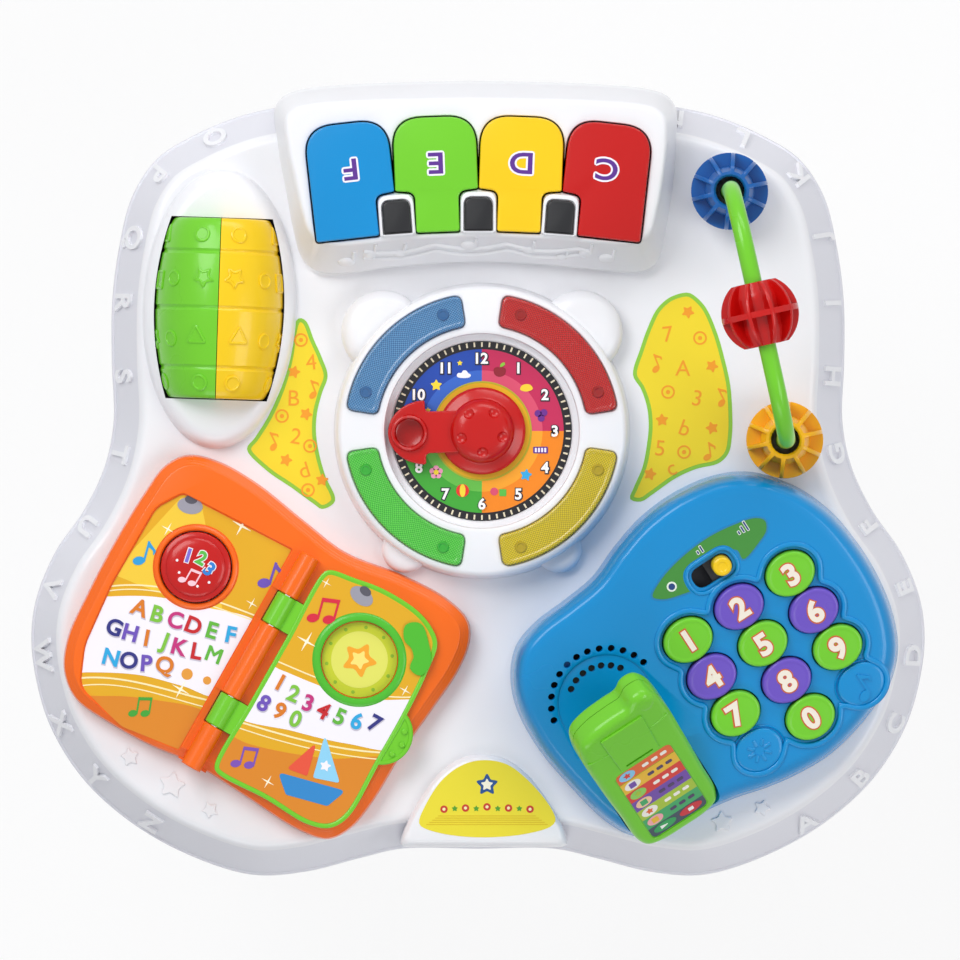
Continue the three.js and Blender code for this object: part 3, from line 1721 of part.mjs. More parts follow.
function numberPlaces() {
  const places = [];
  for (let digit = 1; digit <= 9; digit++) {
    const column = (digit - 1) % 3;
    const row = Math.floor((digit - 1) / 3);
    places.push([digit, column, row]);
  }
  places.push([0, 1, 3]);
  return places.map(([digit, column, row]) => ({
    digit,
    x: keypadX + (column - 1) * numberPitchX,
    y: keypadTopY - row * numberPitchY,
  }));
}

function dummyPlaces() {
  const y = keypadTopY - 3 * numberPitchY;
  return [-1, 1].map((side) => ({ x: keypadX + side * numberPitchX, y }));
}

function ovalRing(growth) {
  return ellipseRing(numberHalfWidth + growth, numberHalfHeight + growth, numberRingCount);
}

// Stadium along X for the volume slider.
function slotRing(growth) {
  const halfLength = volumeTravel / 2 + slotHalfWidth + growth;
  return roundedRing(halfLength, slotHalfWidth + growth, slotHalfWidth + growth - boreGap, 4);
}

function keypadFloorCut() {
  const places = [...numberPlaces(), ...dummyPlaces()];
  const ovals = places.map(({ x, y }) =>
    prism(movedRing(ovalRing(keypadMargin), x, y), -keypadRecess, keypadRecess + overrun),
  );
  const middle = box(2 * numberPitchX, 3 * numberPitchY, -keypadRecess, keypadRecess + overrun);
  const sliderRing = movedRing(slotRing(keypadMargin / 2), slotX, slotY);
  const slider = prism(sliderRing, -keypadRecess, keypadRecess + overrun);
  return join(...ovals, middle.translate(keypadX, keypadY, 0), slider);
}

function grilleHoles() {
  const holes = [];
  const rows = [
    [grilleOuter, grilleOuterCount],
    [grilleInner, grilleInnerCount],
  ];
  for (const [reach, count] of rows) {
    for (let i = 0; i < count; i++) {
      const angle = rad(grilleStart + (grilleSweep * i) / (count - 1));
      const x = grilleX + reach * Math.cos(angle);
      const y = grilleY + reach * Math.sin(angle);
      holes.push(cylinder(grilleHoleRadius, -phoneWall - overrun, overrun, 6).translate(x, y, 0));
    }
  }
  return join(...holes);
}

function keypadPosts() {
  const corners = [];
  for (const sx of [-1, 1]) {
    for (const sy of [-1, 1]) {
      corners.push([keypadX + (sx * numberPitchX) / 2, keypadY + sy * numberPitchY]);
    }
  }
  return corners;
}

// Places an item of the handset's own frame, whose foot is at the origin and whose head is towards +Y.
function atHandset(item) {
  return item
    .clone()
    .rotateX(rad(handsetTilt) - slope)
    .translate(handsetX, handsetFootY, -handsetFront);
}

function phoneSkin() {
  const outline = smoothRing(scaledShares(phoneShares, phoneHalfWidth, phoneHalfHeight), phoneRingCount);
  const round = shoulder(phoneShoulder, phoneShoulderShare, 2).map(([run, drop]) =>
    drop > 0
      ? risenRing(insetRing(outline, phoneDraft + run), 1 - drop)
      : faceRing(insetRing(outline, phoneDraft + run)),
  );
  const outer = loft([
    risenRing(outline, 0),
    risenRing(insetRing(outline, phoneDraft), 1 - phoneShoulderShare),
    ...round,
  ]);
  const ceiling = faceRing(insetRing(outline, phoneDraft + phoneShoulder));
  const under = insetRing(outline, phoneWall);
  const inner = loft([
    onFace(atHeight(under, -phoneMidRise - overrun)),
    risenRing(insetRing(outline, phoneDraft + phoneWall), phoneInnerShare),
    atHeight(ceiling, -phoneWall),
  ]);
  return { outer, inner };
}

function phoneHousing() {
  const { outer, inner } = phoneSkin();
  const keyHoles = numberPlaces().map(({ x, y }) =>
    prism(movedRing(ovalRing(runGap), x, y), -phoneWall - overrun, overrun),
  );
  const dummies = dummyPlaces().map(({ x, y }) =>
    loft([
      atHeight(movedRing(ovalRing(0), x, y), -phoneWall / 2),
      atHeight(movedRing(ovalRing(0), x, y), dummyRise - keypadRecess - numberEdge / 2),
      atHeight(movedRing(ovalRing(-numberEdge), x, y), dummyRise - keypadRecess),
    ]),
  );
  const slot = prism(movedRing(slotRing(0), slotX, slotY), -phoneWall - overrun, overrun);
  const grilleDisc = cylinder(grilleStep, -grilleStepDepth, overrun, 24).translate(grilleX, grilleY, 0);
  const post = box(keypadPostSize, keypadPostSize, seatGap - phoneWall - keypadBoardDrop, -phoneWall / 2);
  const posts = keypadPosts().map(([x, y]) => shifted(post, x, y));
  const pocketRing = insetRing(handsetRing(), -runGap);
  const handsetSpace = atHandset(prism(pocketRing, -handsetBack - seatGap, handsetFront + seatGap));
  const shell = join(cut(outer, inner), ...posts, common(pocketBlock(), outer), cradleRest());
  const sunk = join(cut(shell, keypadFloorCut(), grilleDisc), ...dummies);
  return mesh("phone_housing", cut(sunk, ...keyHoles, slot, grilleHoles(), handsetSpace), skyBlue);
}

// Walls round the foot of the handset, inside the housing.
function pocketBlock() {
  return atHandset(
    box(
      2 * (handsetHalfWidth + cradleWall),
      2 * (handsetSink + cradleWall),
      -handsetBack - cradleWall,
      handsetFront + cradleWall,
    ),
  );
}

// Upright rest that carries the back of the handset.
function cradleRest() {
  const foot = seatGap - phoneMidRise;
  const rest = box(2 * cradleHalfWidth, cradleReach, foot, foot + 2 * handsetHalfLength);
  const far = 4 * handsetHalfLength;
  const above = box(4 * handsetHalfWidth, far, -handsetBack - seatGap, far);
  return cut(rest.translate(handsetX, cradleY, 0).rotateX(-slope), atHandset(above));
}

function numberKeys() {
  const underside = -phoneWall - seatGap;
  const top = numberRise - keypadRecess;
  const flange = ellipseRing(numberHalfWidth + numberFlange, numberHalfHeight, numberRingCount);
  return numberPlaces().map(({ digit, x, y }) => {
    const key = loft([
      atHeight(flange, underside - numberFlangeHeight),
      atHeight(flange, underside),
      atHeight(ovalRing(0), underside),
      atHeight(ovalRing(0), top - numberEdge),
      atHeight(ovalRing(-numberEdge), top),
    ]);
    const made = mesh("number_key_" + digit, key, digit % 2 || !digit ? leafGreen : purple);
    made.position.set(x, y, 0);
    return made;
  });
}

function volumeKnob() {
  const underside = -phoneWall - seatGap;
  const base = prism(
    roundedRing(volumeRadius + volumeFlange, volumeRadius + volumeFlange, volumeFlange, 2),
    underside - volumeFlangeHeight,
    underside,
  );
  const stem = turned(
    [
      [0, underside - volumeFlangeHeight / 2],
      [volumeRadius, underside - volumeFlangeHeight / 2],
      [volumeRadius, volumeRise - numberEdge],
      [volumeRadius - numberEdge, volumeRise],
      [0, volumeRise],
    ],
    20,
  );
  const knob = mesh("volume_knob", join(base, stem), sunYellow);
  knob.position.set(slotX + volumeTravel / 2, slotY, 0);
  return knob;
}

function keypadBoard() {
  const top = -phoneWall - keypadBoardDrop;
  const board = box(keypadBoardWidth, keypadBoardHeight, top - boardThickness, top);
  return mesh("keypad_board", board.translate(keypadX, keypadY, 0), boardGreen);
}

function speaker() {
  const face = -phoneWall - seatGap;
  const profile = [
    [0, face - speakerCone - speakerMagnet],
    [speakerMagnetRadius, face - speakerCone - speakerMagnet],
    [speakerMagnetRadius, face - speakerCone],
    [speakerRadius - speakerFrame, face - speakerFrame],
    [speakerRadius, face - speakerFrame],
    [speakerRadius, face],
    [0, face],
  ];
  return mesh("loudspeaker", turned(profile, 12).translate(grilleX, grilleY, 0), black);
}

// Outline of the handset, or its mirror image for a side of -1.
function handsetRing(side = 1) {
  const points = scaledShares(handsetShares, side * handsetHalfWidth, handsetHalfLength);
  const ring = smoothRing(side < 0 ? points.reverse() : points, handsetRingCount);
  return movedRing(ring, 0, handsetHalfLength - handsetSink);
}

// One half shell, open at the parting plane Z = 0 and closed at the given depth.
function handsetShell(depth, side) {
  const ring = handsetRing(side);
  const round = shoulder(handsetEdge, handsetEdge, 2).map(([run, drop]) =>
    atHeight(insetRing(ring, run), depth - drop),
  );
  return loft([
    atHeight(insetRing(ring, handsetEdge + handsetWall), depth - handsetWall),
    atHeight(insetRing(ring, handsetWall), depth - handsetEdge - handsetWall / 2),
    atHeight(insetRing(ring, handsetWall), seatGap / 2),
    atHeight(ring, seatGap / 2),
    atHeight(ring, depth - handsetEdge),
    ...round,
  ]);
}

function handsetSet() {
  const middle = handsetHalfLength - handsetSink;
  const screen = prism(
    movedRing(
      roundedRing(screenHalfWidth, (screenTop - screenBottom) / 2, screenRound),
      0,
      middle + (screenTop + screenBottom) / 2,
    ),
    handsetFront - screenDepth,
    handsetFront + overrun,
  );
  const bandTop = handsetFront + bandRise;
  const band = box(2 * bandHalfWidth, bandEnd - bandStart, handsetFront - handsetWall / 2, bandTop);
  const slit = box(2 * slitHalfWidth, slitWidth, handsetFront - bandRise / 2, bandTop + overrun);
  const front = cut(
    join(handsetShell(handsetFront, 1), band.translate(0, middle + (bandStart + bandEnd) / 2, 0)),
    screen,
    slit.translate(0, middle + slitY, 0),
  );
  const back = handsetShell(handsetBack, -1).rotateY(Math.PI);
  return [
    mesh("handset_front", atHandset(front), leafGreen),
    mesh("handset_back", atHandset(back), leafGreen),
  ];
}

function phoneSet() {
  const face = new THREE.Group();
  face.position.z = deckTop + phoneMidRise;
  face.rotation.x = slope;
  face.add(phoneHousing(), ...numberKeys(), volumeKnob(), keypadBoard(), speaker(), ...handsetSet());
  return planGroup(phoneX, phoneY, phoneLean, face);
}

// Assembly

const activityTable = new THREE.Group();
activityTable.add(
  topShell(),
  bottomShell(),
  batteryDoor(),
  doorScrew(),
  batteries(),
  mainBoard(),
  legSet(),
  rollerSet(),
  planGroup(pianoX, pianoY, 0, pianoHousing(), ...pianoKeys(), ...blackKeys()),
  clockSet(),
  beadSet(),
  bookSet(),
  phoneSet(),
);

export default activityTable;
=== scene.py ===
"""Looks of a musical activity table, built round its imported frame. Lengths are in millimetres until a mesh is made."""

import math

import bmesh
import bpy
import numpy as np
from mathutils import Matrix, Vector


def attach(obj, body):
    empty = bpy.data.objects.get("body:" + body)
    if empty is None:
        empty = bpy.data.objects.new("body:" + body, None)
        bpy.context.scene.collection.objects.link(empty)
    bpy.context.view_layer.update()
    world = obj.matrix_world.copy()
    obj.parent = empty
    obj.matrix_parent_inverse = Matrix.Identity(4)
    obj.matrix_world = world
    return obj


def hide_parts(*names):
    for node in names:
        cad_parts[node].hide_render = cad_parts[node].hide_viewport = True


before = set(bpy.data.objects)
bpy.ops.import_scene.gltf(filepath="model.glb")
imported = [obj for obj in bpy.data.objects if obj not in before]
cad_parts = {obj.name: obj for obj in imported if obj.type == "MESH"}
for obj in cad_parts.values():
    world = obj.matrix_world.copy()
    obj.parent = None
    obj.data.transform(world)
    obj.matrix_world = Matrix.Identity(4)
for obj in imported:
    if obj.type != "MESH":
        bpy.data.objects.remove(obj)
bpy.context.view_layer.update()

MM = 0.001

# ---------------------------------------------------------------- sizes shared with the frame
SEAT_GAP = 0.3
RUN_GAP = 0.6

MM_PER_PIXEL = 0.5117
PHOTO_MIDDLE = (478, 480.5)  # the pixel over the origin
TABLE_WIDTH = 460
TABLE_DEPTH = 406
LEG_STAND = 285
DECK = 330
SHELL_WALL = 2.6
SKIRT_RUN = 14
DECK_ROUND = 5
TABLE_HALF = [
    (0, -0.467), (0.171, -0.467), (0.265, -0.479), (0.385, -0.496), (0.505, -0.5), (0.647, -0.475),
    (0.776, -0.434), (0.885, -0.378), (0.959, -0.31), (0.992, -0.245), (1, -0.195), (0.988, -0.147),
    (0.945, -0.089), (0.883, -0.038), (0.836, 0.018), (0.816, 0.075), (0.82, 0.15), (0.819, 0.228),
    (0.803, 0.298), (0.774, 0.361), (0.719, 0.408), (0.636, 0.438), (0.534, 0.462), (0.44, 0.474),
    (0.25, 0.483), (0, 0.487),
]
LEGS = [(-158, -113), (158, -113), (0, 152)]

ROLLER_X, ROLLER_Y, ROLLER_LEAN = -132.3, 87.8, -1.9
ROLLER_LENGTH, ROLLER_MID, ROLLER_END = 92, 32.7, 25.3
ROLLER_AXIS = DECK + 4
ROLLER_GROOVES = (-0.66, 0, 0.63)
POD_HALF_WIDTH, POD_HALF_LENGTH, POD_RISE, POD_SHOULDER = 38.6, 70.9, 11, 9

PIANO_X, PIANO_Y = -1.3, 153.5
PIANO_HALF_WIDTH, PIANO_HALF_DEPTH = 104, 52
PIANO_TOP = DECK + 30
PIANO_FOOT = LEG_STAND + 12
PIANO_TURN = DECK + 7.5  # where the wall begins to lean
PIANO_LOW, PIANO_HIGH = (4.2, 2.5, 1.5), (17, 10, 6)  # lean of the front, rear and side walls there and at the top
PIANO = [
    (0.02, -0.868), (0.4, -0.905), (0.62, -0.948), (0.8, -0.972), (0.87, -0.935), (0.915, -0.82),
    (0.945, -0.55), (0.98, -0.1), (1, 0.5), (0.99, 0.74), (0.94, 0.86), (0.85, 0.92), (0.6, 0.968),
    (0.3, 0.99), (0, 1), (-0.3, 0.99), (-0.6, 0.968), (-0.85, 0.92), (-0.94, 0.86), (-0.99, 0.74),
    (-0.98, 0.3), (-0.945, -0.1), (-0.91, -0.5), (-0.87, -0.8), (-0.81, -0.945), (-0.72, -0.99),
    (-0.58, -0.966), (-0.38, -0.91),
]
KEY_PITCH, KEY_WIDTH, KEY_LENGTH, KEY_ARC = 43.2, 42.2, 58.5, 549
KEY_FRONT, KEY_SHIFT = -26.5, 1.5
KEY_END_ROUND, KEY_NOTCH_WIDTH, KEY_NOTCH_LENGTH, KEY_RISE = 15, 10, 20.5, 3
TUNNEL_WIDTH, TUNNEL_RISE = 18.2, 4.5
BLACK_WIDTH, BLACK_LENGTH = 14, 17

CLOCK_X, CLOCK_Y, CLOCK_RADIUS = 2, 25.3, 75.2
CLOCK_TOP = DECK + 17
DIAL_FLOOR = DECK + 7
DIAL_RADIUS = 45.8
LENS_INNER, LENS_OUTER, LENS_START, LENS_SWEEP, LENS_RISE = 53.9, 70, 9, 72, 2.2
HUB_RADIUS, HUB_DOME = 22.3, 16.4
HAND_ANGLE = 181.5
HAND_BASE = DIAL_FLOOR + 3.6
CUP_REACH = 37.1

ARCH_X, ARCH_Y, ARCH_LEAN = 142.5, 84.2, 12.5
ARCH_SPAN, ARCH_RISE, ARCH_BEND = 130, 91, 34
WIRE_RADIUS = 4.5
BEAD_RADIUS, BEAD_HALF, BEAD_HOLE, BEAD_RIBS = 19.7, 16, 7.4, 10

BOOK_X, BOOK_Y, BOOK_LEAN = -116.2, -92.4, -29.5
BOOK_HALF_WIDTH, BOOK_HALF_HEIGHT = 93, 80
BOOK_TOP = DECK + 14
HINGE_Z = BOOK_TOP + 1.9
BOOK = [
    (0, -0.752), (0.35, -0.77), (0.68, -0.79), (0.85, -0.75), (0.93, -0.62), (0.965, -0.4), (0.975, 0),
    (1, 0.3), (1.02, 0.6), (0.995, 0.8), (0.93, 0.91), (0.78, 0.965), (0.5, 0.96), (0.16, 0.905),
    (-0.13, 0.95), (-0.45, 1.01), (-0.7, 1.01), (-0.86, 0.95), (-0.94, 0.82), (-0.965, 0.6),
    (-0.975, 0.2), (-0.965, -0.15), (-0.94, -0.45), (-0.87, -0.64), (-0.74, -0.76), (-0.5, -0.79),
    (-0.25, -0.785),
]
KNUCKLE_RADIUS, HINGE_HALF = 5.4, 62
PAGE_KNUCKLES, PAGE_KNUCKLE, KNUCKLE_PLAY = (-29, 30), 17, 0.4
PAGE_WIDTH, PAGE_HALF_HEIGHT, PAGE_THICKNESS = 83, 62, 3
PAGE = [
    (0.15, -0.93), (0.5, -0.925), (0.8, -0.935), (0.93, -0.87), (0.995, -0.72), (1, -0.2), (1, 0.25),
    (0.98, 0.66), (0.95, 0.88), (0.88, 0.97), (0.75, 1.04), (0.5, 1.06), (0.3, 1.02), (0.15, 0.98),
    (0.12, 0.93), (0.12, 0.3), (0.12, -0.3), (0.12, -0.88),
]
LEFT_PAGE = [
    (-0.1, -0.72), (-0.1, 0.755), (-0.78, 0.725), (-0.87, 0.56), (-0.875, 0), (-0.84, -0.43),
    (-0.75, -0.68), (-0.44, -0.775),
]
WINDOW_X, WINDOW_Y = 48, 28.2
LEFT_FLOOR = BOOK_TOP - 1.8

PHONE_X, PHONE_Y, PHONE_LEAN, PHONE_TILT = 113.6, -91.9, 33, 12
PHONE_HALF_WIDTH, PHONE_HALF_HEIGHT, PHONE_RISE = 97, 78, 36.5
PHONE = [
    (0.1, -0.975), (0.29, -0.985), (0.46, -0.95), (0.62, -0.89), (0.77, -0.81), (0.9, -0.66),
    (0.985, -0.44), (1.03, -0.15), (1.03, 0.15), (1, 0.38), (0.92, 0.62), (0.77, 0.85), (0.6, 0.965),
    (0.37, 1.017), (0.14, 1), (-0.06, 0.93), (-0.24, 0.845), (-0.42, 0.818), (-0.62, 0.8), (-0.77, 0.74),
    (-0.88, 0.6), (-0.95, 0.4), (-0.97, 0.1), (-0.935, -0.25), (-0.88, -0.55), (-0.8, -0.73),
    (-0.67, -0.82), (-0.46, -0.842), (-0.24, -0.885), (-0.07, -0.94),
]
KEYPAD_X, KEYPAD_TOP, KEYPAD_FLOOR = 31.2, 13.1, -1.2
NUMBER_PITCH_X, NUMBER_PITCH_Y = 31, 22.9
NUMBER_HALF_WIDTH, NUMBER_HALF_HEIGHT = 13, 11.1
SLOT_X, SLOT_Y, SLOT_HALF, SLOT_TRAVEL = 29.6, 36.2, 5.6, 11
GRILLE_X, GRILLE_Y = -52.1, 9

HANDSET_X, HANDSET_FOOT, HANDSET_TILT = -53, -60, 48
HANDSET_HALF_WIDTH, HANDSET_HALF_LENGTH = 25.5, 51
HANDSET_FRONT, HANDSET_BACK = 11.5, 8.5
HANDSET_MIDDLE = HANDSET_HALF_LENGTH - 5
HANDSET = [
    (0, -1), (0.5, -0.99), (0.82, -0.93), (0.93, -0.8), (0.96, -0.4), (1, 0.2), (1.01, 0.7), (0.95, 0.93),
    (0.8, 1.06), (0.5, 1.07), (0.3, 0.99), (0, 0.985), (-0.5, 0.96), (-0.85, 0.88), (-0.98, 0.7),
    (-1, 0.2), (-0.96, -0.4), (-0.93, -0.8), (-0.82, -0.93), (-0.5, -0.99),
]

BOSS_X, BOSS_FRONT, BOSS_HALF, BOSS_LENGTH = 2, -188.5, 45, 50
BOSS_TOP = DECK + 5
BOSS = [
    (1, 0), (0.96, 0.18), (0.86, 0.36), (0.72, 0.56), (0.58, 0.73), (0.42, 0.87), (0.24, 0.96), (0.04, 1),
    (-0.16, 0.985), (-0.34, 0.91), (-0.5, 0.79), (-0.65, 0.62), (-0.79, 0.41), (-0.9, 0.2), (-0.97, 0),
]

# ---------------------------------------------------------------- places
rad = math.radians


def place(x, y, z=0, turn=0):
    return Matrix.Translation((x, y, z)) @ Matrix.Rotation(rad(turn), 4, "Z")


AT_ROLLER = place(ROLLER_X, ROLLER_Y, 0, ROLLER_LEAN)
AT_PIANO = place(PIANO_X, PIANO_Y)
AT_CLOCK = place(CLOCK_X, CLOCK_Y)
AT_HAND = place(CLOCK_X, CLOCK_Y, HAND_BASE, HAND_ANGLE)
AT_ARCH = place(ARCH_X, ARCH_Y, 0, ARCH_LEAN)
AT_BOOK = place(BOOK_X, BOOK_Y, 0, BOOK_LEAN)
AT_PHONE = place(PHONE_X, PHONE_Y, DECK + PHONE_RISE, PHONE_LEAN) @ Matrix.Rotation(rad(PHONE_TILT), 4, "X")
AT_HANDSET = AT_PHONE @ (
    Matrix.Translation((HANDSET_X, HANDSET_FOOT, -HANDSET_FRONT))
    @ Matrix.Rotation(rad(HANDSET_TILT - PHONE_TILT), 4, "X")
)
HANDSET_ON_PHONE = AT_PHONE.inverted() @ AT_HANDSET


def at_key(index):
    angle = (1.5 - index) * KEY_PITCH / (KEY_ARC + KEY_LENGTH / 2)
    x = KEY_SHIFT - KEY_ARC * math.sin(angle)
    y = KEY_FRONT - KEY_ARC * (1 - math.cos(angle))
    return AT_PIANO @ place(x, y, 0, math.degrees(angle))


def on_deck(px, py):
    """The plan place of a spot measured in the photograph."""
    return (px - PHOTO_MIDDLE[0]) * MM_PER_PIXEL, (PHOTO_MIDDLE[1] - py) * MM_PER_PIXEL


# ---------------------------------------------------------------- rings of points
def flat(points):
    return np.array([(x, y, 0.0) for x, y in points])


def scaled(shares, width, height):
    return [(x * width, y * height) for x, y in shares]


def smooth(points, count):
    """A closed centripetal curve through the points, spaced evenly."""
    p = np.array(points, float)
    n = len(p)
    t = np.linspace(0, 1, 24, endpoint=False)[:, None]
    runs = []
    for i in range(n):
        p0, p1, p2, p3 = p[i - 1], p[i], p[(i + 1) % n], p[(i + 2) % n]
        d0, d1, d2 = (math.sqrt(np.linalg.norm(b - a)) for a, b in ((p0, p1), (p1, p2), (p2, p3)))
        t1 = ((p1 - p0) / d0 - (p2 - p0) / (d0 + d1) + (p2 - p1) / d1) * d1
        t2 = ((p2 - p1) / d1 - (p3 - p1) / (d1 + d2) + (p3 - p2) / d2) * d1
        runs.append(p1 + t1 * t + (3 * (p2 - p1) - 2 * t1 - t2) * t**2 + (2 * (p1 - p2) + t1 + t2) * t**3)
    return evenly(np.vstack(runs), count)


def evenly(points, count):
    """Points spaced evenly along a closed polyline."""
    q = np.vstack([points, points[:1]])[:, :2]
    s = np.concatenate([[0], np.cumsum(np.linalg.norm(np.diff(q, axis=0), axis=1))])
    spots = np.linspace(0, s[-1], count, endpoint=False)
    return np.column_stack([np.interp(spots, s, q[:, 0]), np.interp(spots, s, q[:, 1]), np.zeros(count)])


def filleted(points, radius, steps=5):
    """A polygon with its corners rounded; radius is one length or one for each corner."""
    n = len(points)
    radii = radius if isinstance(radius, (list, tuple)) else [radius] * n
    out = []
    for i in range(n):
        p, a, b = (np.array(points[k % n], float) for k in (i, i - 1, i + 1))
        before, after = np.linalg.norm(a - p), np.linalg.norm(b - p)
        u, v = (a - p) / before, (b - p) / after
        half = math.acos(max(-1, min(1, float(u @ v)))) / 2
        cut = min(radii[i] / max(math.tan(half), 1e-6), 0.49 * before, 0.49 * after)
        if cut < 1e-3 or half > 1.55:
            out.append(p)
            continue
        start, end = p + u * cut, p + v * cut
        for t in np.linspace(0, 1, steps + 1):
            out.append((1 - t) ** 2 * start + 2 * t * (1 - t) * p + t**2 * end)
    return flat(out)


def ellipse(half_width, half_height, count=48, x=0, y=0):
    a = np.linspace(0, 2 * math.pi, count, endpoint=False)
    return np.column_stack([x + half_width * np.cos(a), y + half_height * np.sin(a), np.zeros(count)])


def box_ring(x0, x1, y0, y1):
    return flat([(x0, y0), (x1, y0), (x1, y1), (x0, y1)])


def rounded(half_width, half_height, radius, x=0, y=0, steps=6):
    corners = box_ring(-half_width, half_width, -half_height, half_height)[:, :2]
    return filleted(corners, radius, steps) + np.array([x, y, 0])


def inset(ring, distance):
    """The ring moved inwards."""
    arriving = ring[:, :2] - np.roll(ring, 1, 0)[:, :2]
    leaving = np.roll(ring, -1, 0)[:, :2] - ring[:, :2]
    arriving /= np.linalg.norm(arriving, axis=1)[:, None]
    leaving /= np.linalg.norm(leaving, axis=1)[:, None]
    normal = np.column_stack([arriving[:, 1], -arriving[:, 0]])
    out = normal + np.column_stack([leaving[:, 1], -leaving[:, 0]])
    out /= np.linalg.norm(out, axis=1)[:, None]
    step = distance / np.maximum((out * normal).sum(1), 0.5)
    shifted = ring.copy()
    shifted[:, :2] -= out * np.reshape(step, (-1, 1))
    return shifted


def at(ring, height):
    out = ring.copy()
    out[:, 2] = height(out) if callable(height) else height
    return out


def shoulder(run, drop, steps=5):
    """Quarter round as (inset, drop) pairs, from the wall to the top."""
    turns = [math.pi / 2 * (i + 1) / steps for i in range(steps)]
    return [(run * (1 - math.cos(a)), drop * (1 - math.sin(a))) for a in turns]


def brim(top, run, drop, steps=5, start=0):
    """(inset, height) pairs of a rounded upper edge."""
    return [(start + r, top - d) for r, d in shoulder(run, drop, steps)]


# ---------------------------------------------------------------- parts: (points, faces)
def loft(rings, endless=False):
    count = len(rings[0])
    bands = len(rings) if endless else len(rings) - 1
    faces = []
    for k in range(bands):
        low, high = k * count, (k + 1) % len(rings) * count
        for i in range(count):
            j = (i + 1) % count
            faces.append((low + i, low + j, high + j, high + i))
    if not endless:
        faces.append(tuple(range(count))[::-1])
        faces.append(tuple((len(rings) - 1) * count + i for i in range(count)))
    return np.vstack(rings), faces


def stack(ring, *levels):
    """A body over one ring, which is inset by so much at each height: levels are (inset, height)."""
    return loft([at(inset(ring, run) if run else ring, z) for run, z in levels])


def prism(ring, bottom, top):
    return stack(ring, (0, bottom), (0, top))


def block(x0, x1, y0, y1, z0, z1):
    return prism(box_ring(x0, x1, y0, y1), z0, z1)


def turned(profile, segments=64):
    points, rows, faces = [], [], []
    turns = [2 * math.pi * i / segments for i in range(segments)]
    for r, z in profile:
        if r < 1e-6:
            rows.append([len(points)] * segments)
            points.append((0, 0, z))
        else:
            rows.append([len(points) + i for i in range(segments)])
            points += [(r * math.cos(a), r * math.sin(a), z) for a in turns]
    for low, high in zip(rows, rows[1:]):
        for i in range(segments):
            j = (i + 1) % segments
            face = []
            for v in (low[i], low[j], high[j], high[i]):
                if v not in face:
                    face.append(v)
            if len(face) > 2:
                faces.append(tuple(face))
    return np.array(points, float), faces


def pin(radius, bottom, top, segments=64):
    return turned([(0, bottom), (radius, bottom), (radius, top), (0, top)], segments)


def ball(step, segments):
    """A ball of radius 1."""
    arc = [(math.cos(rad(a)), math.sin(rad(a))) for a in range(step - 90, 90, step)]
    return turned([(0, -1)] + arc + [(0, 1)], segments)


def tube(path, radius, sides=20, closed=False, squash=1.0):
    """A round bar along a path; squash flattens it across Z."""
    p = np.array(path, float)
    ahead, behind = np.roll(p, -1, 0), np.roll(p, 1, 0)
    if not closed:
        ahead[-1], behind[0] = p[-1], p[0]
    tangents = ahead - behind
    tangents /= np.linalg.norm(tangents, axis=1)[:, None]
    up = np.array([0, 0, 1.0]) if abs(tangents[:, 2]).max() < 0.9 else np.array([1.0, 0, 0])
    rings = []
    for point, tangent in zip(p, tangents):
        side = np.cross(up, tangent)
        side /= np.linalg.norm(side)
        over = np.cross(tangent, side)
        a = np.linspace(0, 2 * math.pi, sides, endpoint=False)[:, None]
        rings.append(point + radius * (np.cos(a) * side + squash * np.sin(a) * over))
    return loft(rings, endless=closed)


def moved(part, matrix):
    points, faces = part
    m = np.array(matrix)
    return points @ m[:3, :3].T + m[:3, 3], faces


def shift(part, x=0, y=0, z=0):
    return part[0] + np.array([x, y, z]), part[1]


def merged(*parts):
    points, faces, base = [], [], 0
    for p, f in parts:
        points.append(p)
        faces += [tuple(base + i for i in face) for face in f]
        base += len(p)
    return np.vstack(points), faces


def mesh_of(name, part, near, slots=()):
    """A welded mesh in metres with its faces outwards; slots holds the material slot of each face."""
    mesh = bpy.data.meshes.new(name)
    mesh.from_pydata((part[0] * MM).tolist(), [], part[1])
    for face, slot in zip(mesh.polygons, slots):
        face.material_index = slot
    work = bmesh.new()
    work.from_mesh(mesh)
    bmesh.ops.remove_doubles(work, verts=work.verts, dist=near * MM)
    if slots:
        bmesh.ops.dissolve_degenerate(work, edges=work.edges, dist=near * MM)
    bmesh.ops.recalc_face_normals(work, faces=work.faces)
    work.to_mesh(mesh)
    work.free()
    return mesh


def evaluated_mesh(obj):
    return bpy.data.meshes.new_from_object(obj.evaluated_get(bpy.context.evaluated_depsgraph_get()))


def boolean(part, tools, operation="DIFFERENCE"):
    """Cuts the tools out of a part, or keeps what they share with it."""
    made = []
    for item in (part, *tools):
        obj = bpy.data.objects.new("work", mesh_of("work", item, 0.001))
        bpy.context.scene.collection.objects.link(obj)
        made.append(obj)
    for tool in made[1:]:
        modifier = made[0].modifiers.new("work", "BOOLEAN")
        modifier.operation = operation
        modifier.solver = "EXACT"
        modifier.object = tool
    result = evaluated_mesh(made[0])
    points = np.array([tuple(v.co) for v in result.vertices]) / MM
    faces = [tuple(p.vertices) for p in result.polygons]
    for obj in made:
        bpy.data.objects.remove(obj)
    return points, faces


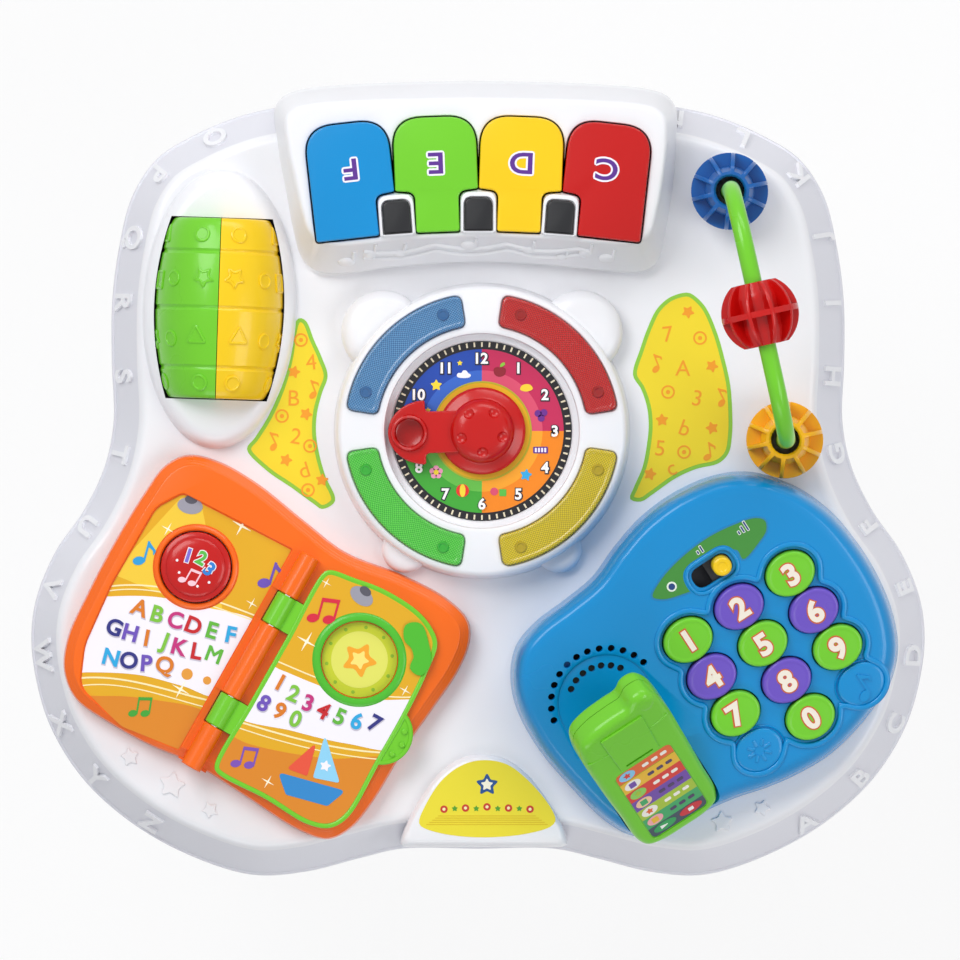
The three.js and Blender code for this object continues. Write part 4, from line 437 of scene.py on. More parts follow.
def make(name, parts, body, replaces=(), angle=32, bevel=0.0):
    """One object from (part, material) or a list of them, riding on a body."""
    if isinstance(parts, tuple):
        parts = [parts]
    looks, slots = [], []
    for part, material in parts:
        if material not in looks:
            looks.append(material)
        slots += [looks.index(material)] * len(part[1])
    mesh = mesh_of(name, merged(*[part for part, _ in parts]), 0.0005, slots)
    for material in looks:
        mesh.materials.append(material)
    mesh.polygons.foreach_set("use_smooth", [True] * len(mesh.polygons))
    mesh.set_sharp_from_angle(angle=rad(angle))
    obj = bpy.data.objects.new(name, mesh)
    bpy.context.scene.collection.objects.link(obj)
    if bevel:
        modifier = obj.modifiers.new("edges", "BEVEL")
        modifier.width = bevel * MM
        modifier.segments = 2
        modifier.limit_method = "ANGLE"
        modifier.angle_limit = rad(50)
    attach(obj, body)
    if replaces:
        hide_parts(*replaces)
    return obj


# ---------------------------------------------------------------- materials
def linear(code):
    channels = [((code >> s) & 255) / 255 for s in (16, 8, 0)]
    return tuple(c / 12.92 if c < 0.04045 else ((c + 0.055) / 1.055) ** 2.4 for c in channels) + (1.0,)


def add_node(tree, kind, **sockets):
    node = tree.nodes.new("ShaderNode" + kind)
    for name, value in sockets.items():
        if name in node.bl_rna.properties:
            setattr(node, name, value)
        else:
            node.inputs[name.replace("_", " ")].default_value = value
    return node


def math_node(tree, operation, factor=None):
    node = add_node(tree, "Math", operation=operation)
    if factor is not None:
        node.inputs[1].default_value = factor
    return node


def moulded(name, code, rough=0.3, vary=0.05, grain=0.04, grain_size=1.2, coat=0.2, depth=0.0):
    """Moulded plastic: a slow drift of colour, an uneven gloss and a fine skin."""
    material = bpy.data.materials.new(name)
    material.use_nodes = True
    tree = material.node_tree
    tree.nodes.clear()
    link = tree.links.new
    shader = add_node(tree, "BsdfPrincipled", IOR=1.5, Specular_IOR_Level=0.28, Coat_Weight=coat, Coat_Roughness=0.08)
    if depth:
        shader.inputs["Subsurface Weight"].default_value = depth
        shader.inputs["Subsurface Radius"].default_value = (0.004, 0.003, 0.003)
        shader.inputs["Subsurface Scale"].default_value = 1.0
    out = add_node(tree, "OutputMaterial")
    where = add_node(tree, "TexCoord")
    drift = add_node(tree, "TexNoise", Scale=18.0, Detail=3.0)
    mix = add_node(tree, "Mix", data_type="RGBA")
    for socket, change in ((6, 1 - vary), (7, 1 + vary)):
        mix.inputs[socket].default_value = tuple(min(1, c * change) for c in linear(code)[:3]) + (1,)
    fine = add_node(tree, "TexNoise", Scale=1000 / grain_size, Detail=2.0)
    gloss = add_node(tree, "MapRange", To_Min=rough - 0.05, To_Max=rough + 0.07)
    bump = add_node(tree, "Bump", Strength=grain, Distance=0.0004)
    link(where.outputs["Object"], drift.inputs["Vector"])
    link(where.outputs["Object"], fine.inputs["Vector"])
    link(drift.outputs["Fac"], mix.inputs[0])
    link(drift.outputs["Fac"], gloss.inputs["Value"])
    link(fine.outputs["Fac"], bump.inputs["Height"])
    link(mix.outputs[2], shader.inputs["Base Color"])
    link(gloss.outputs["Result"], shader.inputs["Roughness"])
    link(bump.outputs["Normal"], shader.inputs["Normal"])
    link(shader.outputs["BSDF"], out.inputs["Surface"])
    return material


def node_of(material, kind):
    return next(n for n in material.node_tree.nodes if n.type == kind)


def lens_look(name, code, dark):
    """Clear coloured plastic over a net of round cells round the middle of the clock."""
    material = moulded(name, code, 0.18, vary=0.03, grain=0.02, coat=0.6)
    tree = material.node_tree
    link = tree.links.new
    shader = node_of(material, "BSDF_PRINCIPLED")
    shader.inputs["Transmission Weight"].default_value = 0.15
    offset = add_node(tree, "VectorMath", operation="SUBTRACT")
    offset.inputs[1].default_value = (CLOCK_X * MM, CLOCK_Y * MM, 0)
    parts = add_node(tree, "SeparateXYZ")
    total, reach, angle = (math_node(tree, kind) for kind in ("ADD", "SQRT", "ARCTAN2"))
    rings = math_node(tree, "MULTIPLY", 2 * math.pi / 0.0014)  # one ring every 1.4 mm
    rays = math_node(tree, "MULTIPLY", 260.0)
    net = math_node(tree, "MULTIPLY")
    ramp = add_node(tree, "MapRange", From_Min=-0.6, From_Max=0.6)
    link(node_of(material, "TEX_COORD").outputs["Object"], offset.inputs[0])
    link(offset.outputs[0], parts.inputs[0])
    for k in range(2):
        square = math_node(tree, "MULTIPLY")
        link(parts.outputs[k], square.inputs[0])
        link(parts.outputs[k], square.inputs[1])
        link(square.outputs[0], total.inputs[k])
        link(parts.outputs[1 - k], angle.inputs[k])
    link(total.outputs[0], reach.inputs[0])
    link(reach.outputs[0], rings.inputs[0])
    link(angle.outputs[0], rays.inputs[0])
    for k, source in enumerate((rings, rays)):
        wave = math_node(tree, "SINE")
        link(source.outputs[0], wave.inputs[0])
        link(wave.outputs[0], net.inputs[k])
    link(net.outputs[0], ramp.inputs["Value"])
    mix = add_node(tree, "Mix", data_type="RGBA")
    mix.inputs[6].default_value = linear(dark)
    link(ramp.outputs["Result"], mix.inputs[0])
    link(shader.inputs["Base Color"].links[0].from_socket, mix.inputs[7])
    link(mix.outputs[2], shader.inputs["Base Color"])
    bump = node_of(material, "BUMP")
    bump.inputs["Strength"].default_value = 0.25
    link(ramp.outputs["Result"], bump.inputs["Height"])
    return material


WHITE = moulded("white_moulding", 0xEDEDF1, 0.34, vary=0.012, grain=0.05, coat=0.3, depth=0.08)
# a greyer copy of the white moulding: painted shade for the sloping skirt
SKIRT_PAINTED_SHADE = moulded("skirt_painted_shade", 0xDEDEE6, 0.42, vary=0.015, grain=0.06, coat=0.15, depth=0.08)
BLUE = moulded("blue_moulding", 0x008ACC, 0.24)
DEEP_BLUE = moulded("deep_blue_moulding", 0x0A5AA6, 0.3)
GREEN = moulded("leaf_green_moulding", 0x70C828, 0.28)
YELLOW = moulded("yellow_moulding", 0xF2C810, 0.28)
BEAD_YELLOW = moulded("bead_yellow_moulding", 0xF2B20C, 0.3)
RED = moulded("red_moulding", 0xC00A08, 0.24)
ORANGE = moulded("orange_moulding", 0xF4690C, 0.28)
PURPLE = moulded("purple_moulding", 0x6A4FBE, 0.28)
BLACK = moulded("black_moulding", 0x15161A, 0.4, vary=0.1)
# dark plastic of the handset screws, and painted shade for the sheets under the piano keys and the phone face
DARK = moulded("dark_moulding_and_painted_shade", 0x2A2B31, 0.6, coat=0.0)
GREY = moulded("grey_moulding", 0xC6C7CF, 0.5, coat=0.1)
RUBBER = moulded("foot_rubber", 0xB8B9C1, 0.75, vary=0.06, grain=0.3, grain_size=0.8, coat=0.0)
BOARD = moulded("board_mask", 0x1E6B3B, 0.45, vary=0.12, grain=0.1, grain_size=3)
CELL = moulded("cell_sleeve", 0x2C3E86, 0.3, vary=0.15, grain=0.02)
STEEL = moulded("steel", 0xBFC2C8, 0.3, vary=0.05, grain=0.1, grain_size=0.6, coat=0.0)
node_of(STEEL, "BSDF_PRINCIPLED").inputs["Metallic"].default_value = 1.0

INKS = {}


def inked(code):
    """Print on a glossy label: faint unevenness of the ink."""
    if code not in INKS:
        INKS[code] = moulded("ink_%06x" % code, code, 0.35, vary=0.035, grain=0.015, grain_size=0.5, coat=0.25)
    return INKS[code]


# ---------------------------------------------------------------- lettering and printed shapes
GLYPHS = {}


def glyph(text, bold):
    """A word one unit high, centred, between Z -1 and 1, as a closed part."""
    if (text, bold) not in GLYPHS:
        curve = bpy.data.curves.new("word", "FONT")
        curve.body = text
        curve.size = 1.0
        curve.offset = bold
        curve.extrude = 1.0
        curve.resolution_u = 5
        obj = bpy.data.objects.new("word", curve)
        bpy.context.scene.collection.objects.link(obj)
        mesh = evaluated_mesh(obj)
        bpy.data.objects.remove(obj)
        work = bmesh.new()
        work.from_mesh(mesh)
        bmesh.ops.remove_doubles(work, verts=work.verts, dist=1e-4)
        work.to_mesh(mesh)
        work.free()
        points = np.array([tuple(v.co) for v in mesh.vertices])
        points[:, :2] -= ((points.min(0) + points.max(0)) / 2)[:2]
        GLYPHS[text, bold] = points, [tuple(p.vertices) for p in mesh.polygons]
    return GLYPHS[text, bold]


def word(text, size, bottom, top, bold=0.0, x=0, y=0, turn=0.0, stretch=1.0):
    """Lettering of a cap height of about 0.7 size, lying flat between two heights."""
    points, faces = glyph(text, bold)
    lifted = points * np.array([size * stretch, size, (top - bottom) / 2]) + np.array([0, 0, (top + bottom) / 2])
    return moved((lifted, faces), place(x, y, 0, turn))


def star_ring(radius, x=0, y=0, turn=90.0, points=5, inner=0.48, soft=0.25):
    corners = []
    for i in range(2 * points):
        r = radius * (inner if i % 2 else 1)
        a = rad(turn + 180 * i / points)
        corners.append((x + r * math.cos(a), y + r * math.sin(a)))
    return filleted(corners, radius * soft, 4)


def note_parts(size, bottom, top, x=0, y=0, turn=0.0, pair=False):
    """A music note: oval head, stem and flag, or two notes with a beam."""
    head = moved((ellipse(0.24 * size, 0.17 * size, 20), []), place(0, 0, 0, 25))[0]
    heads = [(-0.28, -0.4), (0.34, -0.3)] if pair else [(-0.1, -0.4)]
    parts = []
    for hx, hy in heads:
        parts.append(prism(head + np.array([hx * size, hy * size, 0]), bottom, top + 0.02))
        sx, half = (hx + 0.2) * size, 0.045 * size
        parts.append(block(sx - half, sx + half, hy * size, (hy + 0.85) * size, bottom, top))
    if pair:
        x1, x2 = (heads[0][0] + 0.155), (heads[1][0] + 0.245)
        beam = flat(scaled([(x1, 0.31), (x2, 0.41), (x2, 0.57), (x1, 0.47)], size, size))
    else:
        flag = [(0.1, 0.45), (0.46, 0.15), (0.4, -0.08), (0.34, 0.12), (0.1, 0.24)]
        beam = filleted(scaled(flag, size, size), 0.08 * size)
    parts.append(prism(beam, bottom, top + 0.04))
    return moved(merged(*parts), place(x, y, 0, turn))


INK = 0.12  # thickness of one printed layer


def layer(base, level, lift=0.0):
    """Bottom and top of a printed layer above a surface."""
    return base - 0.05, base + INK * (level + 1) + lift


class Prints:
    """Collects printed shapes over a surface of one piece, one object for each colour."""

    def __init__(self, name, body, matrix, slot, base=0.0):
        self.name, self.body, self.matrix, self.slot, self.base = name, body, matrix, slot, base
        self.parts = {}

    def add(self, code, *parts):
        self.parts.setdefault(code, []).extend(parts)

    def lay(self, code, level, *rings, lift=0.0, within=None):
        """Prints rings on a level, cut to the part within."""
        parts = [prism(ring, *layer(self.base, level, lift)) for ring in rings]
        if within:
            parts = [boolean(part, [within], "INTERSECT") for part in parts]
        self.add(code, *parts)

    def write(self, code, level, text, size, **how):
        self.add(code, word(text, size, *layer(self.base, level), **how))

    def note(self, code, level, size, **how):
        self.add(code, note_parts(size, *layer(self.base, level), **how))

    def finish(self):
        for k, (code, parts) in enumerate(self.parts.items()):
            whole = moved(merged(*parts), self.matrix)
            make("%s_print_%d" % (self.name, k + 1), (whole, inked(code)), self.body)


# ---------------------------------------------------------------- table shell
def barrel_radius(share):
    return ROLLER_MID - (ROLLER_MID - ROLLER_END) * share * share


def barrel_ring(clearance):
    side = []
    for share in np.linspace(-1, 1, 25):
        side.append((barrel_radius(share) + clearance, share * (ROLLER_LENGTH / 2 + clearance)))
    return flat(side + [(-x, -y) for x, y in side])


def boss_ring(margin):
    corners = scaled(BOSS, BOSS_HALF - margin, BOSS_LENGTH - 2 * margin)
    ring = filleted(corners, [4] + [12] * 13 + [4], 6)
    return evenly(ring, 120) + np.array([BOSS_X, BOSS_FRONT + margin, 0])


def build_shell():
    left = [(-x, y) for x, y in TABLE_HALF[1:-1][::-1]]
    outline = smooth(scaled(TABLE_HALF + left, TABLE_WIDTH / 2, TABLE_DEPTH), 420)
    foot = LEG_STAND
    shell = stack(
        outline,
        (SKIRT_RUN + DECK_ROUND, DECK - SHELL_WALL),
        (SKIRT_RUN + SHELL_WALL, DECK - SHELL_WALL - 2.5),
        (SHELL_WALL, foot), (0.4, foot), (0, foot + 0.4), (0.6, foot + 3.2), (1.5, foot + 3.6),
        (SKIRT_RUN, DECK - DECK_ROUND),
        *brim(DECK, DECK_ROUND, DECK_ROUND, 4, SKIRT_RUN),
        (SKIRT_RUN + DECK_ROUND + 1.5, DECK),
    )
    opening = moved(prism(barrel_ring(RUN_GAP), DECK - 6, DECK + POD_RISE + 4), AT_ROLLER)
    wire_hole = pin(WIRE_RADIUS + 0.2, DECK - 14, DECK + 1, 32)
    holes = [moved(wire_hole, AT_ARCH @ place(0, side * ARCH_SPAN / 2)) for side in (-1, 1)]
    points, faces = boolean(shell, [opening, *holes])
    pod = stack(
        ellipse(POD_HALF_WIDTH, POD_HALF_LENGTH, 96),
        (-0.8, DECK - 1), (-0.8, DECK + 0.2), (0, DECK + 1.4),
        *brim(DECK + POD_RISE, POD_SHOULDER, POD_RISE - 1.6, 8),
        (POD_SHOULDER + 8, DECK + POD_RISE + 0.5),
    )
    pod = boolean(moved(pod, AT_ROLLER), [opening])
    drops = ((0, BOSS_TOP - foot - 8), (1.2, 5), (1.7, 2.6), (3.1, 0.8), (5, 0))
    boss = loft([at(boss_ring(margin), BOSS_TOP - drop) for margin, drop in drops])
    # the steep faces of the skirt take a greyer copy of the white moulding: painted shade for the slope, as the shell
    # is one white moulding
    steep, level = [], []
    for face in faces:
        (steep if points[list(face), 2].max() < DECK - 3.5 else level).append(face)
    looks = [((points, level), WHITE), ((points, steep), SKIRT_PAINTED_SHADE), (pod, WHITE), (boss, WHITE)]
    make("table_shell", looks, "table", replaces=["top_shell"])
    return outline


def slope_place(outline, way):
    """Frame halfway up the sloping skirt: X along it, Y up the slope, Z out of it. way runs from 0 to 1."""
    count = len(outline)
    i = int(round(way * count)) % count
    tangent = outline[(i + 2) % count] - outline[i - 2]
    tangent /= np.linalg.norm(tangent)
    out = np.array([tangent[1], -tangent[0], 0])
    rise = DECK - DECK_ROUND - LEG_STAND
    up = -out * SKIRT_RUN + np.array([0, 0, rise])
    up /= np.linalg.norm(up)
    m = Matrix([*zip(tangent, up, np.cross(tangent, up))]).to_4x4()
    m.translation = Vector(outline[i] - out * SKIRT_RUN / 2 + np.array([0, 0, LEG_STAND + rise / 2]))
    return m


def build_skirt_letters(outline):
    letters = "ABCDEFGHIJKLMNOPQRSTUVWXYZ"
    raised = []
    (start, end), (start2, end2) = (0.108, 0.462), (0.574, 0.892)  # clear of the boss and the piano
    total = end - start + end2 - start2
    for k, letter in enumerate(letters):
        way = start + (k + 0.5) / len(letters) * total
        if way > end:
            way += start2 - end
        m = slope_place(outline, way) @ Matrix.Diagonal((15.5, 34, 1, 1))
        raised.append(moved(word(letter, 1, -0.8, 1.3, bold=0.03), m))
    make("skirt_letters", (merged(*raised), WHITE), "table", bevel=0.25)


def build_deck_stars():
    stars = []
    spots = [(130, 757, 5.5, 10), (172, 785, 8, -12), (210, 810, 5, 24), (722, 822, 6.5, 5), (762, 808, 5, -20)]
    for px, py, size, turn in spots:
        ring = evenly(star_ring(size, *on_deck(px, py), 90 + turn, soft=0.3), 120)
        stars.append(stack(ring, (0, DECK - 0.3), (0, DECK + 0.6), (0.3, DECK + 0.9)))
    make("deck_stars", (merged(*stars), WHITE), "table")


def build_boss_label():
    ring = [
        (419, 822), (423, 810), (441, 781), (462, 765), (482, 760), (506.5, 764), (531, 783), (551, 808),
        (555.5, 820), (551, 826), (523, 834), (478, 837), (441, 833), (421, 826),
    ]
    prints = Prints("boss_label", "table", Matrix.Identity(4), "yellow_plastic", BOSS_TOP)
    prints.lay(0xE9D935, 0, smooth([on_deck(*p) for p in ring][::-1], 90))
    cx, cy = on_deck(487, 806)
    for k in range(5):
        half, y = 31 - 1.5 * k, cy - 9.5 + 1.1 * k
        prints.lay(0xD8B81E, 1, box_ring(cx - half, cx + half, y, y + 0.35))
    prints.lay(0x1F4E8C, 1, star_ring(6.6, cx, cy + 11))
    prints.lay(0xF4F0DA, 2, star_ring(3.6, cx, cy + 11))
    for k, x in enumerate((-22, -11, 0, 11, 22)):
        y = cy - 1.5 + 0.6 * (2 - abs(k - 2))
        prints.lay(0xC43A2A, 1, ellipse(1.9, 1.9, 24, cx + x, y))
        prints.lay(0xF3E9B4, 2, ellipse(0.8, 0.8, 20, cx + x, y))
    prints.lay(0x4F9A2C, 1, *[star_ring(1.8, cx + x, cy - 1.2) for x in (-16.5, -5.5, 5.5, 16.5)])
    prints.finish()


def build_decals():
    right = [
        (682.7, 293), (668.9, 298), (657, 309), (648, 327), (640, 349.5), (633, 375), (641, 389), (647, 407),
        (648.7, 425), (647, 444), (642.5, 467), (634, 487), (630, 499), (641, 501.5), (653, 494), (676, 478),
        (696, 469), (719, 463), (728.6, 453), (732, 434), (732, 407), (730, 384), (725, 361), (717, 333),
        (706, 308), (696, 297), (689.5, 293),
    ]
    left = [
        (300, 318), (306, 321), (314, 340), (322, 358), (327.6, 376), (322, 393), (317, 413), (316, 433),
        (319, 453), (325, 475), (335, 501), (322, 509), (314, 504), (292, 488), (266, 470), (247, 449),
        (255, 437.6), (269, 415), (282, 384.5), (289, 358), (293, 331), (296, 321),
    ]
    # s star, r ring, n note, anything else is a letter or a digit
    right_marks = [
        (688, 312, "s"), (668, 334, "7"), (700, 338, "r"), (655, 362, "n"), (683, 368, "A"), (712, 366, "s"),
        (668, 392, "r"), (697, 398, "3"), (720, 396, "n"), (662, 420, "s"), (685, 428, "b"), (712, 428, "s"),
        (660, 448, "5"), (684, 452, "r"), (708, 450, "n"), (650, 474, "s"), (672, 470, "c"),
    ]
    left_marks = [
        (301, 340, "r"), (311, 362, "4"), (294, 372, "s"), (312, 388, "n"), (294, 398, "B"), (306, 414, "s"),
        (282, 416, "r"), (296, 436, "2"), (272, 440, "n"), (310, 446, "r"), (286, 460, "s"), (304, 470, "d"),
        (322, 480, "s"), (308, 490, "r"),
    ]
    ink = 0xEE9A25
    for name, ring, marks in (("right_decal", right, right_marks), ("left_decal", left[::-1], left_marks)):
        outline = smooth([on_deck(*p) for p in ring], 140)
        prints = Prints(name, "table", Matrix.Identity(4), "yellow_plastic", DECK)
        prints.lay(0x8CC63F, 0, outline)
        prints.lay(0xEDD32A, 1, inset(outline, 2.0))
        low, high = layer(DECK, 2)
        for k, (px, py, kind) in enumerate(marks):
            x, y = on_deck(px, py)
            turn = 37 * k % 60 - 30
            if kind == "s":
                prints.lay(ink, 2, star_ring(3.9, x, y, 90 + turn))
            elif kind == "r":
                hoop = [at(ellipse(r, r, 32, x, y), z) for r, z in ((3.5, low), (3.5, high), (2.6, high), (2.6, low))]
                prints.add(ink, loft(hoop, endless=True))
                prints.lay(ink, 2, ellipse(1.1, 1.1, 16, x, y))
            elif kind == "n":
                prints.note(ink, 2, 9, x=x, y=y, turn=turn)
            else:
                prints.write(ink, 2, kind, 11.5, x=x, y=y, turn=turn)
        prints.finish()


def build_legs():
    foot, top = 4 + SEAT_GAP, LEG_STAND - SEAT_GAP

    def radius(z):
        return 18 + 3 * z / top

    profile = [(15.4, foot), (radius(foot), foot)]
    for z in (92, 188):  # moulded rings
        for lift, rise in ((-2.6, -0.02), (-1.8, 0.8), (1.8, 0.8), (2.6, -0.02)):
            profile.append((radius(z) + rise, z + lift))
    profile += [
        (radius(top), top - 9), (radius(top) + 0.9, top - 8), (radius(top) + 0.9, top - 0.8), (radius(top), top),
        (16, top), (16, LEG_STAND + 25), (13.4, LEG_STAND + 25), (13.4, top), (15.4, top - 3), (15.4, foot),
    ]
    leg = turned(profile, 72)
    outer = 20.4
    grooves = []
    for z in (4.2, 6.4, 8.6):
        grooves += [(outer, z - 0.6), (outer - 0.6, z - 0.3), (outer - 0.6, z + 0.3), (outer, z + 0.6)]
    sole = [(0, 0.8), (12, 0.8), (13, 0), (outer - 1, 0), (outer, 1)]
    pad = turned([*sole, *grooves, (outer, 11.4), (outer - 0.6, 12), (18.5, 12), (18.5, 4), (0, 4)], 72)
    for k, (x, y) in enumerate(LEGS, 1):
        make("leg_%d_tube" % k, (shift(leg, x, y), WHITE), "table", ["leg_%d" % k])
        make("foot_%d_pad" % k, (shift(pad, x, y), RUBBER), "table", ["leg_foot_%d" % k])


# ---------------------------------------------------------------- roller
def build_roller():
    half = ROLLER_LENGTH / 2
    end = [(half - 2, ROLLER_END + 0.1), (half - 0.6, ROLLER_END - 0.8), (half, ROLLER_END - 2)]
    lines = []
    for share in set(np.linspace(-0.9, 0.9, 19).round(3)) - {0.0}:
        if all(abs(share - g) > 0.07 for g in ROLLER_GROOVES):
            lines.append((share, 0))
    for g in ROLLER_GROOVES:
        lines += [(g - 0.03, 0), (g - 0.018, 0.5), (g, 0.8), (g + 0.018, 0.5), (g + 0.03, 0)]
    stations = [(-y, r) for y, r in end[::-1]]
    stations += [(share * half, barrel_radius(share) - sink) for share, sink in sorted(lines)] + end
    m = AT_ROLLER @ Matrix.Translation((0, 0, ROLLER_AXIS))
    seam = 0.18
    half_turn = np.radians(np.linspace(-90, 90, 49))
    # raised marks: share of the half length, turn round the barrel, outline laid round it
    marks = [
        (-0.83, 30, "c"), (-0.83, -30, "c"), (-0.35, 38, "s"), (-0.3, -28, "t"), (0.3, 30, "h"), (0.34, -34, "s"),
        (0.82, 34, "t"), (0.82, -28, "c"), (-0.35, 4, "c"), (0.32, 2, "c"),
    ]
    for side, name, look in ((-1, "green", GREEN), (1, "yellow", YELLOW)):
        rings = []
        for y, r in stations:
            arc = [(side * max(r * math.cos(a), seam), y, r * math.sin(a)) for a in half_turn]
            rings.append(np.array(arc))
        parts = [loft(rings)]
        for share, turn, kind in marks:
            if kind == "s":
                ring = star_ring(6.5, 0, 0, 90 + turn)
            elif kind == "t":
                ring = filleted([(-6, -4.5), (6, -4.5), (0, 6)], 1.6)
            elif kind == "h":
                ring = rounded(5, 5, 1.4)
            else:
                ring = ellipse(4.2, 4.2, 28)
            levels = []
            for lift, margin in ((-0.8, 0), (0.45, 0), (0.7, 0.5), (0.7, 1.0), (0.3, 1.4)):
                edge = inset(ring, margin)
                angle = rad(90 - side * (45 + turn * 0.9)) + edge[:, 0] / barrel_radius(share)
                y = share * half + edge[:, 1]
                r = barrel_radius(y / half) + lift
                levels.append(np.column_stack([r * np.cos(angle), y, r * np.sin(angle)]))
            parts.append(loft(levels))
        looks = (moved(merged(*parts), m), look)
        make("roller_%s_shell" % name, looks, "roller", ["roller_half_" + name])


# ---------------------------------------------------------------- piano
def piano_ring(outline, front, rear, side):
    """The outline with its front, rear and side walls brought in by their lean."""
    low, high = outline[:, 1].min(), outline[:, 1].max()
    ring = outline.copy()
    ring[:, 1] = low + front + (outline[:, 1] - low) * (high - low - front - rear) / (high - low)
    half = (outline[:, 0].max() - outline[:, 0].min()) / 2
    ring[:, 0] *= (half - side) / half
    return ring


def key_ring(index, growth=0.0):
    half, n = KEY_WIDTH / 2, KEY_NOTCH_LENGTH
    near = half - KEY_NOTCH_WIDTH
    corners = [
        (near, 0), (near, n), (half, n + 1), (half, KEY_LENGTH),
        (-half, KEY_LENGTH), (-half, n + 1), (-near, n), (-near, 0),
    ]
    radii = [1.6, 4.6, 1.2, KEY_END_ROUND, KEY_END_ROUND, 1.2, 4.6, 1.6]
    if index == 0:
        corners, radii = corners[:5] + [(-half, 0)], radii[:5] + [1.6]
    elif index == 3:
        corners, radii = [(half, 0)] + corners[3:], [1.6] + radii[3:]
    return inset(filleted(corners, radii, 10), -growth)


def tunnel_ring(width, length, start, round_radius):
    corners = box_ring(-width / 2, width / 2, start, start + length)[:, :2]
    return filleted(corners, [0.6, 0.6, round_radius, round_radius], 8)


def build_piano():
    outline = smooth(scaled(PIANO, PIANO_HALF_WIDTH, PIANO_HALF_DEPTH), 260)
    top = PIANO_TOP
    rings = [at(inset(outline, 3), PIANO_TURN - 3), at(inset(outline, 2.6), PIANO_FOOT)]
    rings += [at(outline, PIANO_FOOT), at(piano_ring(outline, *PIANO_LOW), PIANO_TURN)]
    front, rear, side = PIANO_HIGH
    for run, z in [(0, top - 3.4), *brim(top, 3, 3.2)]:
        rings.append(at(piano_ring(outline, front + run, rear + run, side + run), z))
    rings.append(at(piano_ring(outline, 21.5, 14, 10.5), top))
    cuts, shade_floors = [], []
    for i in range(4):
        hole = key_ring(i, RUN_GAP + 0.2)
        cuts.append(moved(stack(hole, (0, top - 14), (0, top - 0.35), (-0.35, top), (-0.35, top + 8)), at_key(i)))
        # thin dark floors under the key openings: painted shade seen through the gaps round the keys
        shade_floors.append(moved(prism(key_ring(i, RUN_GAP + 0.3), top - 14.6, top - 14), at_key(i)))
    z = top + TUNNEL_RISE
    outer = tunnel_ring(TUNNEL_WIDTH, KEY_NOTCH_LENGTH + 0.2, -0.6, 5.5)
    inner = tunnel_ring(BLACK_WIDTH + 0.7, BLACK_LENGTH + 0.8, -0.3, 4.2)
    walls = [(inner, 0, z - 2.2), (inner, 0, z - 0.5), (inner, -0.4, z), (outer, 0.7, z), (outer, 0.2, z - 0.4)]
    walls += [(outer, 0, z - 1), (outer, 0, top - 9)]
    tunnel = loft([at(inset(ring, run), height) for ring, run, height in walls])
    black = stack(
        tunnel_ring(BLACK_WIDTH, BLACK_LENGTH, 0.1, 4.0), (0, z - 1.6), (0, z), *brim(z + 1, 0.9, 1, 3)
    )
    tunnels = [moved(tunnel, at_key(i + 0.5)) for i in range(3)]
    body = boolean(moved(loft(rings), AT_PIANO), cuts)
    make("piano_shell", (merged(body, *tunnels), WHITE), "table", ["piano_housing"], 40)
    # painted shade in the gaps round the keys
    make("piano_key_shade_floors", (merged(*shade_floors), DARK), "table")
    high = top + KEY_RISE
    for i, (name, look) in enumerate((("blue", BLUE), ("green", GREEN), ("yellow", YELLOW), ("red", RED))):
        node, slot = "piano_key_" + name, name + "_plastic"
        levels = [(1, high - 2), (1, top - 5), (0, top - 5), (0, high - 1.2), *brim(high, 0.9, 1.2)]
        make("key_%s_cap" % name, (moved(stack(key_ring(i), *levels), at_key(i)), look), node, [node])
        prints = Prints("key_%s_label" % name, node, at_key(i), slot, high)
        label, y = "FEDC"[i], 35
        how = {"bold": 0.02, "turn": 180, "stretch": 1.15}
        low, face = layer(high, 0)
        rim = 0.95
        for k in range(8):  # a pale rim of eight shifted copies
            dx, dy = rim * math.cos(rad(45 * k)), rim * math.sin(rad(45 * k))
            prints.add(0xF4F0FA, word(label, 15, low, face + 0.006 * k, x=dx, y=y + dy, **how))
        prints.write(0x5A2C8C, 1, label, 15, y=y, **how)
        prints.finish()
    for i in range(1, 4):
        cap = (moved(black, at_key(i - 0.5)), BLACK)
        make("black_key_cap_%d" % i, cap, "table", ["black_key_%d" % i])
    build_piano_relief(outline)


def build_piano_relief(outline):
    """Raised staff lines and notes on the sloping front wall of the piano."""

    def edge(lean):
        ring = piano_ring(outline, *lean)
        front = ring[ring[:, 1] < ring[:, 1].min() + 12]
        return front[np.argsort(front[:, 0])]

    lower, upper = edge(PIANO_LOW), edge(PIANO_HIGH)

    def on_wall(x, share):
        y0, y1 = (np.interp(x, line[:, 0], line[:, 1]) for line in (lower, upper))
        return x, y0 + (y1 - y0) * share, PIANO_TURN + (PIANO_TOP - 3.4 - PIANO_TURN) * share

    parts = []
    for offset in (0.52, 0.78):
        path = []
        for x in np.linspace(-57, 56, 81):
            path.append(on_wall(x, offset - 0.22 * abs(math.sin(math.pi * (x + 21) / 36.8))))
        parts.append(tube(path, 1.25, 10))
    notes = (
        (-66, 0.4, 3.8), (-54, 0.6, 3), (-39, 0.5, 2.8), (-3.5, 0.7, 3.8), (27, 0.55, 2.6), (44, 0.35, 2.8),
        (56, 0.62, 3.2), (67, 0.45, 3.8),
    )
    for x, share, r in notes:
        spot = Matrix.Translation(on_wall(x, share)) @ Matrix.Rotation(rad(60), 4, "X")
        parts.append(moved(ball(15, 24), spot @ Matrix.Diagonal((r * 1.15, r, 1.7, 1))))
        stem = x + r * 0.85
        parts.append(tube([on_wall(stem, share), on_wall(stem + 0.8, min(share + 0.38, 1.0))], 0.9, 8))
    make("piano_staff_relief", (moved(merged(*parts), AT_PIANO), WHITE), "table")


